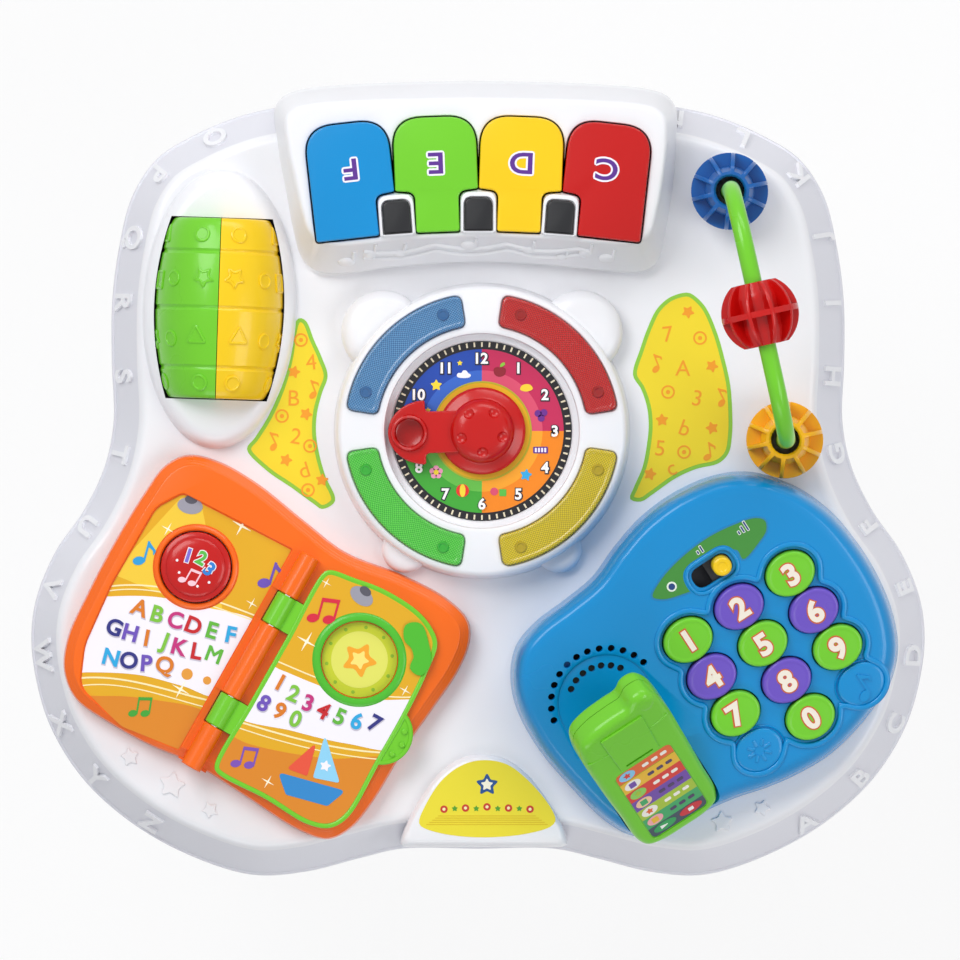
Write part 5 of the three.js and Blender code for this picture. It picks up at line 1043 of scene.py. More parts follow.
# ---------------------------------------------------------------- clock
def sector(quadrant, margin):
    """Outline of a lens, drawn in by a margin: a round-cornered bar bent round the dial."""
    middle, half = (LENS_INNER + LENS_OUTER) / 2, (LENS_OUTER - LENS_INNER) / 2
    reach = rad(LENS_SWEEP) / 2 * middle
    bar = evenly(rounded(reach - margin, half - margin, max(3.6 - margin, 0.6), steps=8), 200)
    angle = rad(90 * quadrant + LENS_START + LENS_SWEEP / 2) - bar[:, 0] / middle
    r = middle + bar[:, 1]
    return np.column_stack([r * np.cos(angle), r * np.sin(angle), np.zeros(len(bar))])


def sector_body(quadrant, *levels):
    return loft([at(sector(quadrant, margin), z) for margin, z in levels])


def dome(radius, bottom, top, segments=64, share=0.5):
    wall = bottom + (top - bottom) * share * 0.6
    crown = [(radius - run, z) for run, z in brim(top, radius * 0.45, (top - bottom) * (1 - share), 8)]
    return turned([(0, bottom), (radius, bottom), (radius, wall), *crown, (0, top)], segments)


def build_clock():
    top = CLOCK_TOP
    foot = DECK + 0.05
    rim = DIAL_RADIUS + 3.7
    outer = CLOCK_RADIUS
    profile = [
        (0, DIAL_FLOOR - 2.4), (0, DIAL_FLOOR), (DIAL_RADIUS + 0.3, DIAL_FLOOR), (DIAL_RADIUS + 0.3, DIAL_FLOOR + 1.9),
        (DIAL_RADIUS + 1.0, DIAL_FLOOR + 2.8), (rim, DIAL_FLOOR + 3.2), (rim, top - 1.6), (rim + 0.5, top - 0.5),
        (rim + 1.6, top), (LENS_INNER - 2.0, top), (LENS_OUTER + 1.4, top), (outer - 3.2, top - 0.25),
        (outer - 2.0, top - 1.0), (outer - 1.3, top - 2.2), (outer - 1.0, top - 3.4), (outer - 0.2, DECK + 2.0),
        (outer + 0.6, foot + 0.6), (outer + 0.6, foot), (outer - 2.4, foot), (outer - 3.4, top - 6),
        (rim + 2.4, top - 6), (rim + 2.4, DIAL_FLOOR - 2.4), (0, DIAL_FLOOR - 2.4),
    ]
    levels = [(-SEAT_GAP, top - 8), (-SEAT_GAP, top - 0.5), (-0.8, top + 0.02), (-0.8, top + 3)]
    parts = [boolean(turned(profile, 192), [sector_body(q, *levels) for q in range(4)])]
    bells_and_feet = ((45, 71.4, 21.5, 13), (135, 71.4, 21.5, 13), (-57, 72, 12, 8), (-123, 72, 12, 8))
    for angle, reach, radius, rise in bells_and_feet:
        x, y = reach * math.cos(rad(angle)), reach * math.sin(rad(angle))
        parts.append(shift(dome(radius, foot, DECK + rise), x, y))
    make("clock_shell", (moved(merged(*parts), AT_CLOCK), WHITE), "table", ["clock_housing"])
    z = top + LENS_RISE
    levels = [(0, top - 2.8), (0, z - 1.2), *brim(z, 1.3, 1.2), (2.0, z), (2.5, z - 0.3), (3.0, z - 0.3)]
    stud_profile = [
        (0, z - 1), (3.0, z - 1), (3.0, z + 0.1), (2.6, z + 0.5), (2.0, z + 0.5), (1.5, z + 0.1), (0, z + 0.2),
    ]
    looks = (
        ("red", 0xD80C0A, 0x960504), ("blue", 0x5E9BCC, 0x2C5F93),
        ("green", 0x62DC48, 0x2AA52A), ("yellow", 0xE8D010, 0xAE9608),
    )
    for q, (name, code, dark) in enumerate(looks):
        studs = []
        for end in (9.5, LENS_SWEEP - 9.5):
            a = rad(90 * q + LENS_START + end)
            studs.append(shift(turned(stud_profile, 32), 62.5 * math.cos(a), 62.5 * math.sin(a)))
        look = lens_look("lens_" + name, code, dark)
        solid = moulded("lens_stud_" + name, dark, 0.2, coat=0.6)
        parts = [(moved(sector_body(q, *levels), AT_CLOCK), look), (moved(merged(*studs), AT_CLOCK), solid)]
        make("lens_%s_cover" % name, parts, "table", ["light_lens_" + name])


def sector_ring(inner, outer, start):
    """A quarter of a flat ring."""
    angles = np.linspace(rad(start), rad(start + 90), 25)
    edges = ((outer, angles), (inner, angles[::-1]))
    return flat([(r * math.cos(a), r * math.sin(a)) for r, run in edges for a in run])


def annulus(inner, outer, bottom, top, segments=96):
    return turned([(inner, bottom), (outer, bottom), (outer, top), (inner, top), (inner, bottom)], segments)


def spot(clock, reach):
    """Place on the dial by the hour."""
    a = rad(90 - 30 * clock)
    return reach * math.cos(a), reach * math.sin(a)


def around(points, x, y, count, size=1.0):
    """A smooth ring through points given round a place."""
    return smooth([(x + size * a, y + size * b) for a, b in points], count)


def build_dial():
    base = DIAL_FLOOR + 1.75
    prints = Prints("dial", "table", AT_CLOCK, "printed_dial", base)
    prints.add(0x17151C, annulus(41.6, DIAL_RADIUS, base - 0.1, layer(base, 0)[1], 128))
    for k in range(72):
        tick = prism(box_ring(43.0, 45.4, -0.42, 0.42), *layer(base, 1))
        prints.add(0xE8DDC0, moved(tick, place(0, 0, 0, 5 * k)))
    for start, code in ((90, 0x2148A8), (0, 0xC22A58), (270, 0xF0871C), (180, 0x3FA535)):
        prints.lay(code, 1, sector_ring(20, 41.8, start))
    for start, code in ((90, 0x3768C8), (0, 0xD9506F), (270, 0xF7A52C), (180, 0x66BE4A)):
        prints.lay(code, 2, sector_ring(22, 31.0, start))
    prints.add(0xE7B21C, annulus(20, 25.2, *layer(base, 3)))
    prints.add(0xB8B02A, annulus(24.6, 25.5, *layer(base, 4)))
    for number in range(1, 13):
        x, y = spot(number, 37.2)
        prints.write(0x1C1A2A, 3, str(number), 7.6, bold=0.1, x=x + 0.15, y=y - 0.15)
        prints.write(0xFBFBFB, 4, str(number), 7.6, bold=0.03, x=x, y=y)
    # sky quarter: stars and a cloud
    for hour, reach, size in ((10.5, 33, 3.4), (9.7, 29.5, 1.7), (11.4, 36.5, 1.6)):
        prints.lay(0xF8DC3C, 3, star_ring(size, *spot(hour, reach)))
    cloud = [
        (-1, -0.35), (1, -0.35), (1.2, 0.05), (0.75, 0.35), (0.45, 0.75), (-0.1, 0.8), (-0.4, 0.4),
        (-0.95, 0.35), (-1.2, 0),
    ]
    prints.lay(0xF3F5FA, 3, around(cloud, *spot(11.4, 30), 40, 3.0))
    # orchard quarter: apple, leaf, lemon and berries
    apple = [(0, -3), (2.6, -1.8), (2.9, 1.2), (0.6, 2), (0, 1.5), (-0.6, 2), (-2.9, 1.2), (-2.6, -1.8)]
    prints.lay(0x8E1F2F, 3, around(apple, *spot(0.55, 32), 40))
    prints.lay(0x8CC63F, 4, around([(0.2, 2), (2.6, 3.2), (2.4, 4.4), (0.6, 3.6)], *spot(0.55, 32), 24))
    lemon = [(-3.2, -1.6), (0, -2.6), (3.2, -1.2), (2, 0.8), (0, 1.2), (-2.4, 0.4)]
    prints.lay(0xF6D33A, 3, around(lemon, *spot(1.5, 32.2), 30))
    x, y = spot(2.45, 31.6)
    prints.lay(0x6A2C8C, 3, *[ellipse(1.8, 1.8, 24, x + dx, y + dy) for dx, dy in ((-1.6, 0), (1.4, 0.4), (0, -2.4))])
    # play quarter: keys, star, counter and block
    x, y = spot(3.6, 31.5)
    prints.lay(0x5A2C8C, 3, rounded(3.8, 1.7, 0.7, x, y))
    prints.lay(0xF0E9FA, 4, *[rounded(0.5, 1.1, 0.2, x - 2.4 + 1.6 * k, y) for k in range(4)])
    prints.lay(0x36A9E0, 3, star_ring(3.6, *spot(4.5, 31.8), 80))
    x, y = spot(5.5, 32)
    prints.lay(0xD9506F, 3, ellipse(2.0, 2.0, 28, x - 2, y))
    prints.lay(0x58B947, 3, rounded(1.8, 1.8, 0.5, x + 2.4, y - 0.6))
    # meadow quarter: ball and flower
    x, y = spot(6.6, 32)
    prints.lay(0xE8332C, 3, ellipse(3.3, 3.3, 32, x, y))
    prints.lay(0xF8DC3C, 4, ellipse(1.5, 3.3, 32, x, y))
    x, y = spot(7.6, 31.5)
    for a in range(18, 378, 72):
        prints.lay(0xF3A0C0, 3, ellipse(1.5, 1.5, 20, x + 2 * math.cos(rad(a)), y + 2 * math.sin(rad(a))))
    prints.lay(0xF8DC3C, 4, ellipse(1.3, 1.3, 20, x, y))
    prints.finish()


def build_hand():
    profile = [
        (0, 0.0), (HUB_RADIUS - 0.5, 0), (HUB_RADIUS, 0.5), (HUB_RADIUS, 2.4), (HUB_RADIUS - 0.5, 3.4),
        (HUB_RADIUS - 1.6, 4.1), (HUB_DOME + 1.2, 5.2), (HUB_DOME + 0.2, 5.7), (HUB_DOME - 0.2, 6.6),
    ]
    profile += [(HUB_DOME - 0.3 - run, z) for run, z in brim(13.4, HUB_DOME * 0.55, 5.8, 10)]
    dents = []
    for a in range(18, 378, 72):
        dent = Matrix.Translation((11.6 * math.cos(rad(a)), 11.6 * math.sin(rad(a)), 14.6))
        dents.append(moved(ball(10, 32), dent @ Matrix.Diagonal((3.6, 3.6, 3.4, 1))))
    hub = boolean(turned(profile + [(4, 13.35), (0, 13.4)], 128), dents)
    nose = [(28.8 + 19.2 * math.sqrt(1 - s * s), 16.4 * s) for s in np.sin(np.linspace(0, math.pi / 2 * 0.93, 12))]
    upper = nose + [(29.6, 16.4), (28.8, 15.9), (28.8, 10.7), (0, 10.7)]
    arm_ring = evenly(filleted(upper + [(x, -y) for x, y in upper[1:]][::-1], 2.2, 5), 200)
    arm = stack(arm_ring, (0, 0), (0, 6.5), *brim(7.5, 0.8, 1.0, 4))
    cup = turned([(0, 2), (6.0, 2), (6.9, 2.5), (7.3, 3.4), (7.3, 9.6), (7.9, 10.6), (9.4, 12), (0, 12)], 64)
    arm = boolean(arm, [shift(cup, CUP_REACH)])
    rim = [(7.3, 3), (7.3, 9.4), (7.6, 10.1), (8.2, 10.5), (8.8, 10.2), (9.2, 9.4), (9.6, 7.2), (9.6, 3), (7.3, 3)]
    whole = moved(merged(hub, arm, shift(turned(rim, 64), CUP_REACH)), AT_HAND)
    make("clock_hand_body", (whole, RED), "clock_hand", ["clock_hand"])


# ---------------------------------------------------------------- bead arch
def arch_path():
    half = ARCH_SPAN / 2
    bend_z = DECK + ARCH_RISE - ARCH_BEND
    path = [(0, -half, z) for z in np.linspace(DECK - 11.7, bend_z, 6)]
    for a in np.linspace(0, math.pi / 2, 17)[1:]:
        path.append((0, ARCH_BEND - half - ARCH_BEND * math.cos(a), bend_z + ARCH_BEND * math.sin(a)))
    return path + [(0, -y, z) for _, y, z in path[::-1]]


def bead_ring(rib_radius, pocket, z):
    """Ten ribs with pockets between them, seen along the bore."""
    half_rib = 1.0
    w = math.asin(min(half_rib / rib_radius, 1))
    wp = math.asin(min((half_rib + 0.25) / pocket, 1))
    gap = 2 * math.pi / BEAD_RIBS
    inner, outer = rib_radius - 0.25, rib_radius
    rib = [(pocket, -wp), (inner, -w), (outer, -w * 0.5), (outer, w * 0.5), (inner, w), (pocket, wp)]
    rib += [(pocket, wp + (gap - 2 * wp) * k / 4) for k in (1, 2, 3)]
    points = []
    for i in range(BEAD_RIBS):
        points += [(r * math.cos(gap * i + t), r * math.sin(gap * i + t), z) for r, t in rib]
    return np.array(points)


def bead_part():
    equator, collar = 1.5, BEAD_HOLE + 2.4
    flip = np.array([1, 1, -1])
    upper = []
    for z in np.linspace(BEAD_HALF, equator, 9):
        depth = collar + (12.5 - collar) * min(1, (BEAD_HALF - z) / 7)
        upper.append(bead_ring(max(math.sqrt(BEAD_RADIUS**2 - z * z), depth + 0.3), depth, z))
    middle = math.sqrt(BEAD_RADIUS**2 - equator**2)
    edge = bead_ring(middle, middle - 0.02, equator)
    band = [edge, bead_ring(middle + 0.1, middle + 0.08, 0), edge * flip]
    bore = [bead_ring(BEAD_HOLE + 0.02, BEAD_HOLE, z) for z in (-BEAD_HALF + 0.6, BEAD_HALF - 0.6)]
    lip = bead_ring(BEAD_HOLE + 1.0, BEAD_HOLE + 0.9, BEAD_HALF + 0.2)
    lower = [ring * flip for ring in upper[::-1]]
    return loft([*bore, lip, *upper, *band, *lower, lip * flip], endless=True)


def build_arch():
    wire = (moved(tube(arch_path(), WIRE_RADIUS, 32), AT_ARCH), GREEN)
    make("arch_wire", wire, "table", ["bead_arch"])
    bore = WIRE_RADIUS + 0.1
    low, high = DECK - 0.5, DECK + 0.22
    collar = [(bore, low), (7.4, low), (7.4, DECK + 0.05), (6.8, high), (bore, high), (bore, low)]
    collars = [moved(turned(collar, 48), AT_ARCH @ place(0, s * ARCH_SPAN / 2)) for s in (-1, 1)]
    make("arch_collars", (merged(*collars), WHITE), "table")
    post_rest = DECK + SEAT_GAP + BEAD_HALF
    crown_rest = DECK + ARCH_RISE - (BEAD_HOLE - WIRE_RADIUS) + SEAT_GAP
    for name, y, z, turn, look in (
        ("blue", ARCH_SPAN / 2, post_rest, 0, DEEP_BLUE),
        ("yellow", -ARCH_SPAN / 2, post_rest, 0, BEAD_YELLOW),
        ("red", 0, crown_rest, 90, RED),
    ):
        m = AT_ARCH @ Matrix.Translation((0, y, z)) @ Matrix.Rotation(rad(turn), 4, "X")
        node = "bead_" + name
        make(node + "_ball", (moved(bead_part(), m), look), node, [node], 40)


# ---------------------------------------------------------------- book
def along_hinge(start, end):
    """A round bar with broken edges on the axis of the hinge."""
    rings = []
    r = KNUCKLE_RADIUS
    for y, radius in ((start, r - 0.5), (start + 0.5, r), (end - 0.5, r), (end, r - 0.5)):
        e = ellipse(radius, radius, 40)
        rings.append(np.column_stack([e[:, 0], np.full(40, float(y)), e[:, 1] + HINGE_Z]))
    return loft(rings)


def build_book():
    outline = smooth(scaled(BOOK, BOOK_HALF_WIDTH, BOOK_HALF_HEIGHT), 300)
    foot, top, floor = DECK + SEAT_GAP, BOOK_TOP, LEFT_FLOOR
    levels = [(9, top - 3), (3.4, top - 6), (2.6, foot), (0, foot), (0.8, top - 4.4)]
    for k in range(4):  # four steps like a pile of pages
        run, z = 0.8 + 1.35 * k, top - 3.3 + 1.1 * k
        levels += [(run + 0.15, z - 0.5), (run + 0.5, z - 0.12), (run + 0.9, z)]
    left = filleted(scaled(LEFT_PAGE, BOOK_HALF_WIDTH, BOOK_HALF_HEIGHT), [1.5, 1.5, 5, 14, 30, 30, 12, 14], 8)
    cuts = [
        stack(left, (0, floor), (0, top - 0.4), (-0.5, top + 0.05), (-0.6, top + 1)),
        shift(pin(18.6, floor - 6, top + 1, 72), -WINDOW_X, WINDOW_Y),
    ]
    ends = [-HINGE_HALF]
    for y in PAGE_KNUCKLES:
        low, high = y - PAGE_KNUCKLE / 2 - KNUCKLE_PLAY, y + PAGE_KNUCKLE / 2 + KNUCKLE_PLAY
        cuts += [block(-6, 6, low, high, HINGE_Z - 6, HINGE_Z + 7), block(-17, 17, low, high, top - 0.6, top + 1)]
        ends += [low, high]
    ends.append(HINGE_HALF)
    parts = [boolean(stack(outline, *levels), cuts)]
    for a, b in zip(ends[::2], ends[1::2]):
        parts.append(along_hinge(a, b))
        parts.append(block(-KNUCKLE_RADIUS, KNUCKLE_RADIUS, a, b, top - 6, HINGE_Z))
    parts.append(block(-8, 8, 1 - HINGE_HALF, HINGE_HALF - 1, top - 8, HINGE_Z - 6))
    bezel = [(18.7, -0.4), (18.7, 0.9), (19.3, 1.4), (20.4, 1.5), (21.3, 1.0), (21.6, -0.4), (18.7, -0.4)]
    parts.append(shift(turned(bezel, 72), -WINDOW_X, WINDOW_Y, floor))
    make("book_base_shell", (moved(merged(*parts), AT_BOOK), ORANGE), "table", ["book_base"])
    build_left_page(left)


def wave_ring(points, width):
    """A ribbon of even width along a smooth open line through the points, pointed at its ends."""
    p = np.array(points, float)
    s = np.concatenate([[0], np.cumsum(np.linalg.norm(np.diff(p, axis=0), axis=1))])
    u = np.linspace(0, s[-1], 40)
    p = np.column_stack([np.polyval(np.polyfit(s, p[:, k], min(3, len(p) - 1)), u) for k in (0, 1)])
    t = np.gradient(p, axis=0)
    t /= np.linalg.norm(t, axis=1)[:, None]
    n = np.column_stack([-t[:, 1], t[:, 0]])
    w = np.full(len(p), width / 2)
    w[0] = w[-1] = 0.05
    return flat(np.vstack([p - n * w[:, None], (p + n * w[:, None])[::-1]]))


PAGE_INKS = [0xD9791F, 0x7CBF3C, 0xC2307A, 0xC31F26, 0x5FB23A, 0x2AA6DD, 0x2C2E7C, 0x6B4FB5]


def lettered(prints, rows):
    """Rows of coloured letters with a pale shadow; a row is (text, x, y, pitch, turn, sag)."""
    size, n = 11.5, 0
    for text, x0, y0, pitch, turn, sag in rows:
        for i, letter in enumerate(text):
            d = (i - (len(text) - 1) / 2) * pitch
            bend = (2 * i / (len(text) - 1) - 1) ** 2
            x = x0 + d * math.cos(rad(turn))
            y = y0 + d * math.sin(rad(turn)) + sag * bend
            tip = turn + (i % 3 - 1) * 5
            code = PAGE_INKS[n % len(PAGE_INKS)]
            n += 1
            if letter == "M":  # a bold M folds over itself, so two plain ones are set side by side
                for k in (-1, 1):
                    span = layer(prints.base, 3, 0.005 * k)
                    prints.add(code, word(letter, size, *span, x=x + 0.25 * k, y=y, turn=tip))
                continue
            prints.write(0xC9C3D2, 2, letter, size, bold=0.055, x=x + 0.3, y=y - 0.4, turn=tip)
            prints.write(code, 3, letter, size, bold=0.03, x=x, y=y, turn=tip)


def page_ground(prints, outline, hole, panel, lower, lines, sparkles):
    """Yellow ground, orange foot, white band, thin lines and sparkles of a printed page."""
    low, high = layer(prints.base, 1)
    clip = boolean(prism(outline, low - 1, high + 1), [hole])
    prints.add(0xE0A91C, boolean(prism(outline, *layer(prints.base, 0)), [hole]))
    prints.lay(0xD98522, 1, smooth(lower, 80), lift=-0.03, within=clip)
    prints.lay(0xF4F0F7, 1, smooth(panel, 120), within=clip)
    for line, width in lines:
        prints.lay(0xF9EBB6, 1, wave_ring(line, width), lift=0.03, within=clip)
    for x, y, size in sparkles:
        prints.lay(0xFCF6D8, 1, star_ring(size, x, y, points=4, inner=0.14, soft=0.02), lift=0.05)
    return clip


def stage_lamp(prints, x, y, turn):
    """A grey spot lamp at the head of a page."""
    m = place(x, y, 0, turn)
    prints.add(0x9A98A4, moved(prism(ellipse(6.5, 4.2, 32), *layer(prints.base, 2)), m))
    prints.add(0x55535E, moved(prism(ellipse(3.2, 2.2, 24, 0, 3.2), *layer(prints.base, 2, 0.06)), m))


def build_left_page(left):
    prints = Prints("left_page", "table", AT_BOOK, "yellow_plastic", LEFT_FLOOR)
    clip = page_ground(
        prints,
        inset(left, 0.6),
        prism(ellipse(22, 22, 64, -WINDOW_X, WINDOW_Y), LEFT_FLOOR - 2, LEFT_FLOOR + 3),
        [
            (-86, -12), (-78, -6), (-58, 5), (-36, 12), (-5, 18),
            (-5, -23), (-24, -28), (-46, -34), (-70, -46), (-86, -56),
        ],
        [(-70, -62), (-56, -52), (-35, -42), (-5, -35), (-5, -66), (-60, -72)],
        [
            ([(-84, -4), (-62, 9), (-36, 17), (-6, 22)], 0.8),
            ([(-84, -7), (-62, 6.5), (-36, 14), (-6, 19.5)], 0.6),
            ([(-74, -52), (-50, -39.5), (-28, -33), (-6, -27)], 0.9),
            ([(-70, -54), (-50, -43), (-28, -36.5), (-6, -31)], 0.6),
        ],
        ((-70, 38, 4), (-38, 58, 6), (-24, -30, 5.5), (-14, 26, 3.5)),
    )
    beam = filleted([(-72, 56), (-60, 56), (-22, 12), (-84, 4)], 2)
    prints.lay(0xEFC83A, 1, beam, lift=-0.04, within=clip)
    stage_lamp(prints, -66, 54, 20)
    rows = [("ABCDEF", -39, 0.6, 9.7, 13, 1), ("GHIJKLM", -43.5, -13.6, 8.8, 14, 1), ("NOPQ", -50, -28.5, 9.2, 20, 0)]
    lettered(prints, rows)
    prints.lay(0xE39A3C, 2, ellipse(2.9, 2.9, 28, -25, -21.6), ellipse(2.1, 2.1, 28, -14.5, -19.4))
    prints.note(0x2E9BD6, 2, 13, x=-75, y=22, turn=14)
    prints.note(0x6B4FB5, 2, 14, x=-13.5, y=44, turn=12)
    prints.note(0x3F9E34, 2, 10, x=-38, y=-48, turn=20, pair=True)
    prints.finish()


def build_song_button():
    z = LEFT_FLOOR
    top = z + 6.5
    profile = [(0, z - 3), (18, z - 3), (18, z + 2.4), (17.6, z + 3.4), (16.4, z + 4.0), (15.2, z + 4.1)]
    profile += [(15.2 - run, height) for run, height in brim(top, 9, 2.2, 8)] + [(0, top)]
    m = AT_BOOK @ place(-WINDOW_X, WINDOW_Y)
    cap = (moved(turned(profile, 96), m), RED)
    make("song_button_cap", cap, "song_button", ["song_button"])
    prints = Prints("song_button_print", "song_button", m, "red_plastic")
    base = top - 0.35
    digits = (("1", -6.2, 3.4, 0x7A6AD0, 12), ("2", 0.4, 5.6, 0x57B847, 0), ("3", 6.6, 2.6, 0x2F7FD0, -12))
    for k, (text, x, y, code, turn) in enumerate(digits):
        halo = base + 0.36 + 0.03 * k
        prints.add(0xF6EEF2, word(text, 9.5, base - 0.6, halo, bold=0.09, x=x, y=y, turn=turn))
        prints.add(code, word(text, 9.5, base - 0.4, base + 0.56, bold=0.04, x=x, y=y, turn=turn))
    prints.add(0xF6C9D4, note_parts(8.5, base - 0.6, base + 0.45, x=-0.6, y=-5.6, pair=True))
    for x, y in ((-10, -1.6), (9.8, -3.4), (-6, -6.5), (5.6, -8)):
        prints.add(0xF6EEF2, prism(ellipse(0.7, 0.7, 16, x, y), base - 1.6, base + 0.35))
    prints.finish()


def build_page():
    outline = smooth(scaled(PAGE, PAGE_WIDTH, PAGE_HALF_HEIGHT), 240)
    low, high = HINGE_Z - PAGE_THICKNESS / 2, HINGE_Z + PAGE_THICKNESS / 2
    sheet = stack(
        outline,
        (0.7, low), (0.15, low + 0.3), (0, low + 0.8), (0, high - 0.5), (0.2, high + 0.05), (0.7, high + 0.3),
        (1.6, high + 0.3), (2.1, high + 0.05), (2.3, high),
    )
    sheet = boolean(sheet, [shift(pin(19.8, low - 1, high + 2, 96), WINDOW_X, WINDOW_Y)])
    levels = [(0.5, low), (0, low + 0.6), (0, high - 0.6), (0.5, high - 0.05)]
    levels += [(1.2, high), (2.0, high), (2.3, high - 0.5)]
    tab = loft([at(ellipse(16 - m, 16 - m, 64, 76.5, 1), z) for m, z in levels])
    parts = [sheet, boolean(tab, [block(40, 81.6, -20, 22, low - 2, high + 2)])]
    for x, y in ((86.2, 7.5), (88.3, 1), (86.2, -5.5)):
        parts.append(shift(dome(1.5, high - 1, high + 0.7, 24, 0.6), x, y))
    for y in PAGE_KNUCKLES:
        near, far = y - PAGE_KNUCKLE / 2, y + PAGE_KNUCKLE / 2
        parts += [along_hinge(near, far), block(0, 16, near, far, low + 0.1, high - 0.1)]
    rim = [
        (19.8, low), (19.8, high + 0.3), (20.3, high + 0.8), (21.6, high + 1.0), (23.2, high + 0.7), (24.0, high),
        (24.0, low), (19.8, low),
    ]
    window = shift(turned(rim, 96), WINDOW_X, WINDOW_Y)
    leaf = smooth(
        [(61, 55), (66, 58.5), (73, 53), (79.5, 44), (78.4, 37.5), (73.5, 38), (72.5, 43.5), (68.5, 47.5), (64, 49)], 48
    )
    leaf = stack(leaf, (0, high - 0.5), (0, high + 0.6), (0.5, high + 0.9), (1.2, high + 1.0))
    ring_green = moulded("page_ring_moulding", 0x4DB82C, 0.3)
    looks = [(moved(merged(*parts), AT_BOOK), GREEN), (moved(merged(window, leaf), AT_BOOK), ring_green)]
    make("page_sheet", looks, "book_page", ["book_page"])
    build_page_front(outline, high)
    build_page_back(outline, low)


def build_page_front(outline, base):
    prints = Prints("page_front", "book_page", AT_BOOK, "yellow_plastic", base)
    page_ground(
        prints,
        inset(outline, 2.5),
        prism(ellipse(24.1, 24.1, 72, WINDOW_X, WINDOW_Y), base - 3, base + 3),
        [(5, 2), (16, 4), (32, 6), (50, 9), (66, 15), (88, 25), (88, -1), (64, -12), (37, -20), (5, -27)],
        [(5, -40), (20, -37), (37, -32), (60, -23), (88, -9), (88, -66), (5, -66)],
        [
            ([(8, 6.5), (30, 9), (52, 13), (84, 27)], 0.7),
            ([(8, -30), (34, -24), (58, -17), (84, -6)], 0.9),
            ([(8, -33), (34, -27.5), (58, -20.5), (84, -10)], 0.6),
        ],
        ((20, 23, 6), (14, 54, 3), (76, 26, 3.5), (38, -49, 4)),
    )
    stage_lamp(prints, 33, 57, -8)
    lettered(prints, [("1234567", 44.8, -3.4, 8.8, 6, 4.5), ("890", 25.5, -14.5, 9, 3, 0)])
    prints.note(0xD5263F, 2, 13, x=19, y=41, turn=14, pair=True)
    prints.note(0x7A4FB0, 2, 11, x=21, y=-44, turn=14, pair=True)
    # a sailing boat at the foot
    hull = filleted([(-17, 2), (-10, -8), (12, -8), (19, 2)], 1.8)
    sail = filleted([(1, 4), (15, 5), (1, 27)], 1.2)
    jib = filleted([(-2, 4), (-2, 22), (-13, 5)], 1.2)
    boat = ((0x2F86C8, 2, hull), (0x8FD0F0, 2, sail), (0xE5533A, 2, jib), (0xF4F0F7, 3, star_ring(3.4, 5.5, 11.5)))
    for code, level, ring in boat:
        prints.add(code, moved(prism(ring, *layer(base, level)), place(57, -40, 0, 14)))
    prints.finish()


def build_page_back(outline, base):
    """Plain stars on the underside of the page."""
    over = Matrix.Rotation(math.pi, 4, "Y")
    m = AT_BOOK @ Matrix.Translation((0, 0, base)) @ over @ Matrix.Translation((0, 0, -base))
    prints = Prints("page_back", "book_page", m, "yellow_plastic", base)
    area = (inset(outline, 2.5) * np.array([-1, 1, 1]))[::-1]
    hole = prism(ellipse(24.1, 24.1, 72, -WINDOW_X, WINDOW_Y), base - 3, base + 3)
    prints.add(0xE0A91C, boolean(prism(area, *layer(base, 0)), [hole]))
    stars = ((-22, 44, 6), (-20, -6, 5), (-34, -34, 7), (-60, -16, 5), (-66, -44, 6), (-18, -48, 4))
    for k, (x, y, size) in enumerate(stars):
        prints.lay(0xF9EBB6 if k % 2 else 0xD98522, 1, star_ring(size, x, y, 90 + 12 * k))
    prints.finish()


def build_window_disc():
    """Printed disc on the base, seen through the window of the page."""
    prints = Prints("window_disc", "table", AT_BOOK @ place(WINDOW_X, WINDOW_Y), "yellow_plastic")
    dots = [ellipse(0.9, 0.9, 16, 16.8 * math.cos(rad(a)), 16.8 * math.sin(rad(a))) for a in range(0, 360, 36)]
    for code, rise, rings in (
        (0xC9CF2E, 0.12, [ellipse(19.2, 19.2, 72)]),
        (0xE2E065, 0.22, [ellipse(14.5, 14.5, 64)]),
        (0xF3A62A, 0.32, [star_ring(10.5, soft=0.35)]),
        (0xFBE27A, 0.42, [star_ring(5.8, soft=0.35)]),
        (0x8DB52A, 0.24, dots),
    ):
        prints.add(code, *[prism(ring, BOOK_TOP - 0.05, BOOK_TOP + rise) for ring in rings])
    prints.finish()


# ---------------------------------------------------------------- telephone
def on_face(ring):
    """From upright points, Z above the middle of the face, to the frame of the face."""
    c, s = math.cos(rad(PHONE_TILT)), math.sin(rad(PHONE_TILT))
    return np.column_stack([ring[:, 0], ring[:, 1] * c + ring[:, 2] * s, -ring[:, 1] * s + ring[:, 2] * c])


def risen(ring, share):
    """The ring raised from the foot towards the tilted face by a share of the way."""
    foot = SEAT_GAP - PHONE_RISE
    slope = math.tan(rad(PHONE_TILT))
    return on_face(at(ring, lambda p: foot + (p[:, 1] * slope - foot) * share))


def face_ring(ring):
    out = ring.copy()
    out[:, 1] /= math.cos(rad(PHONE_TILT))
    out[:, 2] = 0
    return out


LAST_ROW = KEYPAD_TOP - 3 * NUMBER_PITCH_Y
NUMBERS = [
    (n + 1, KEYPAD_X + (n % 3 - 1) * NUMBER_PITCH_X, KEYPAD_TOP - n // 3 * NUMBER_PITCH_Y) for n in range(9)
] + [(0, KEYPAD_X, LAST_ROW)]
EMPTY_OVALS = [(KEYPAD_X - NUMBER_PITCH_X, LAST_ROW), (KEYPAD_X + NUMBER_PITCH_X, LAST_ROW)]


def oval(growth, x=0, y=0, count=56):
    return ellipse(NUMBER_HALF_WIDTH + growth, NUMBER_HALF_HEIGHT + growth, count, x, y)


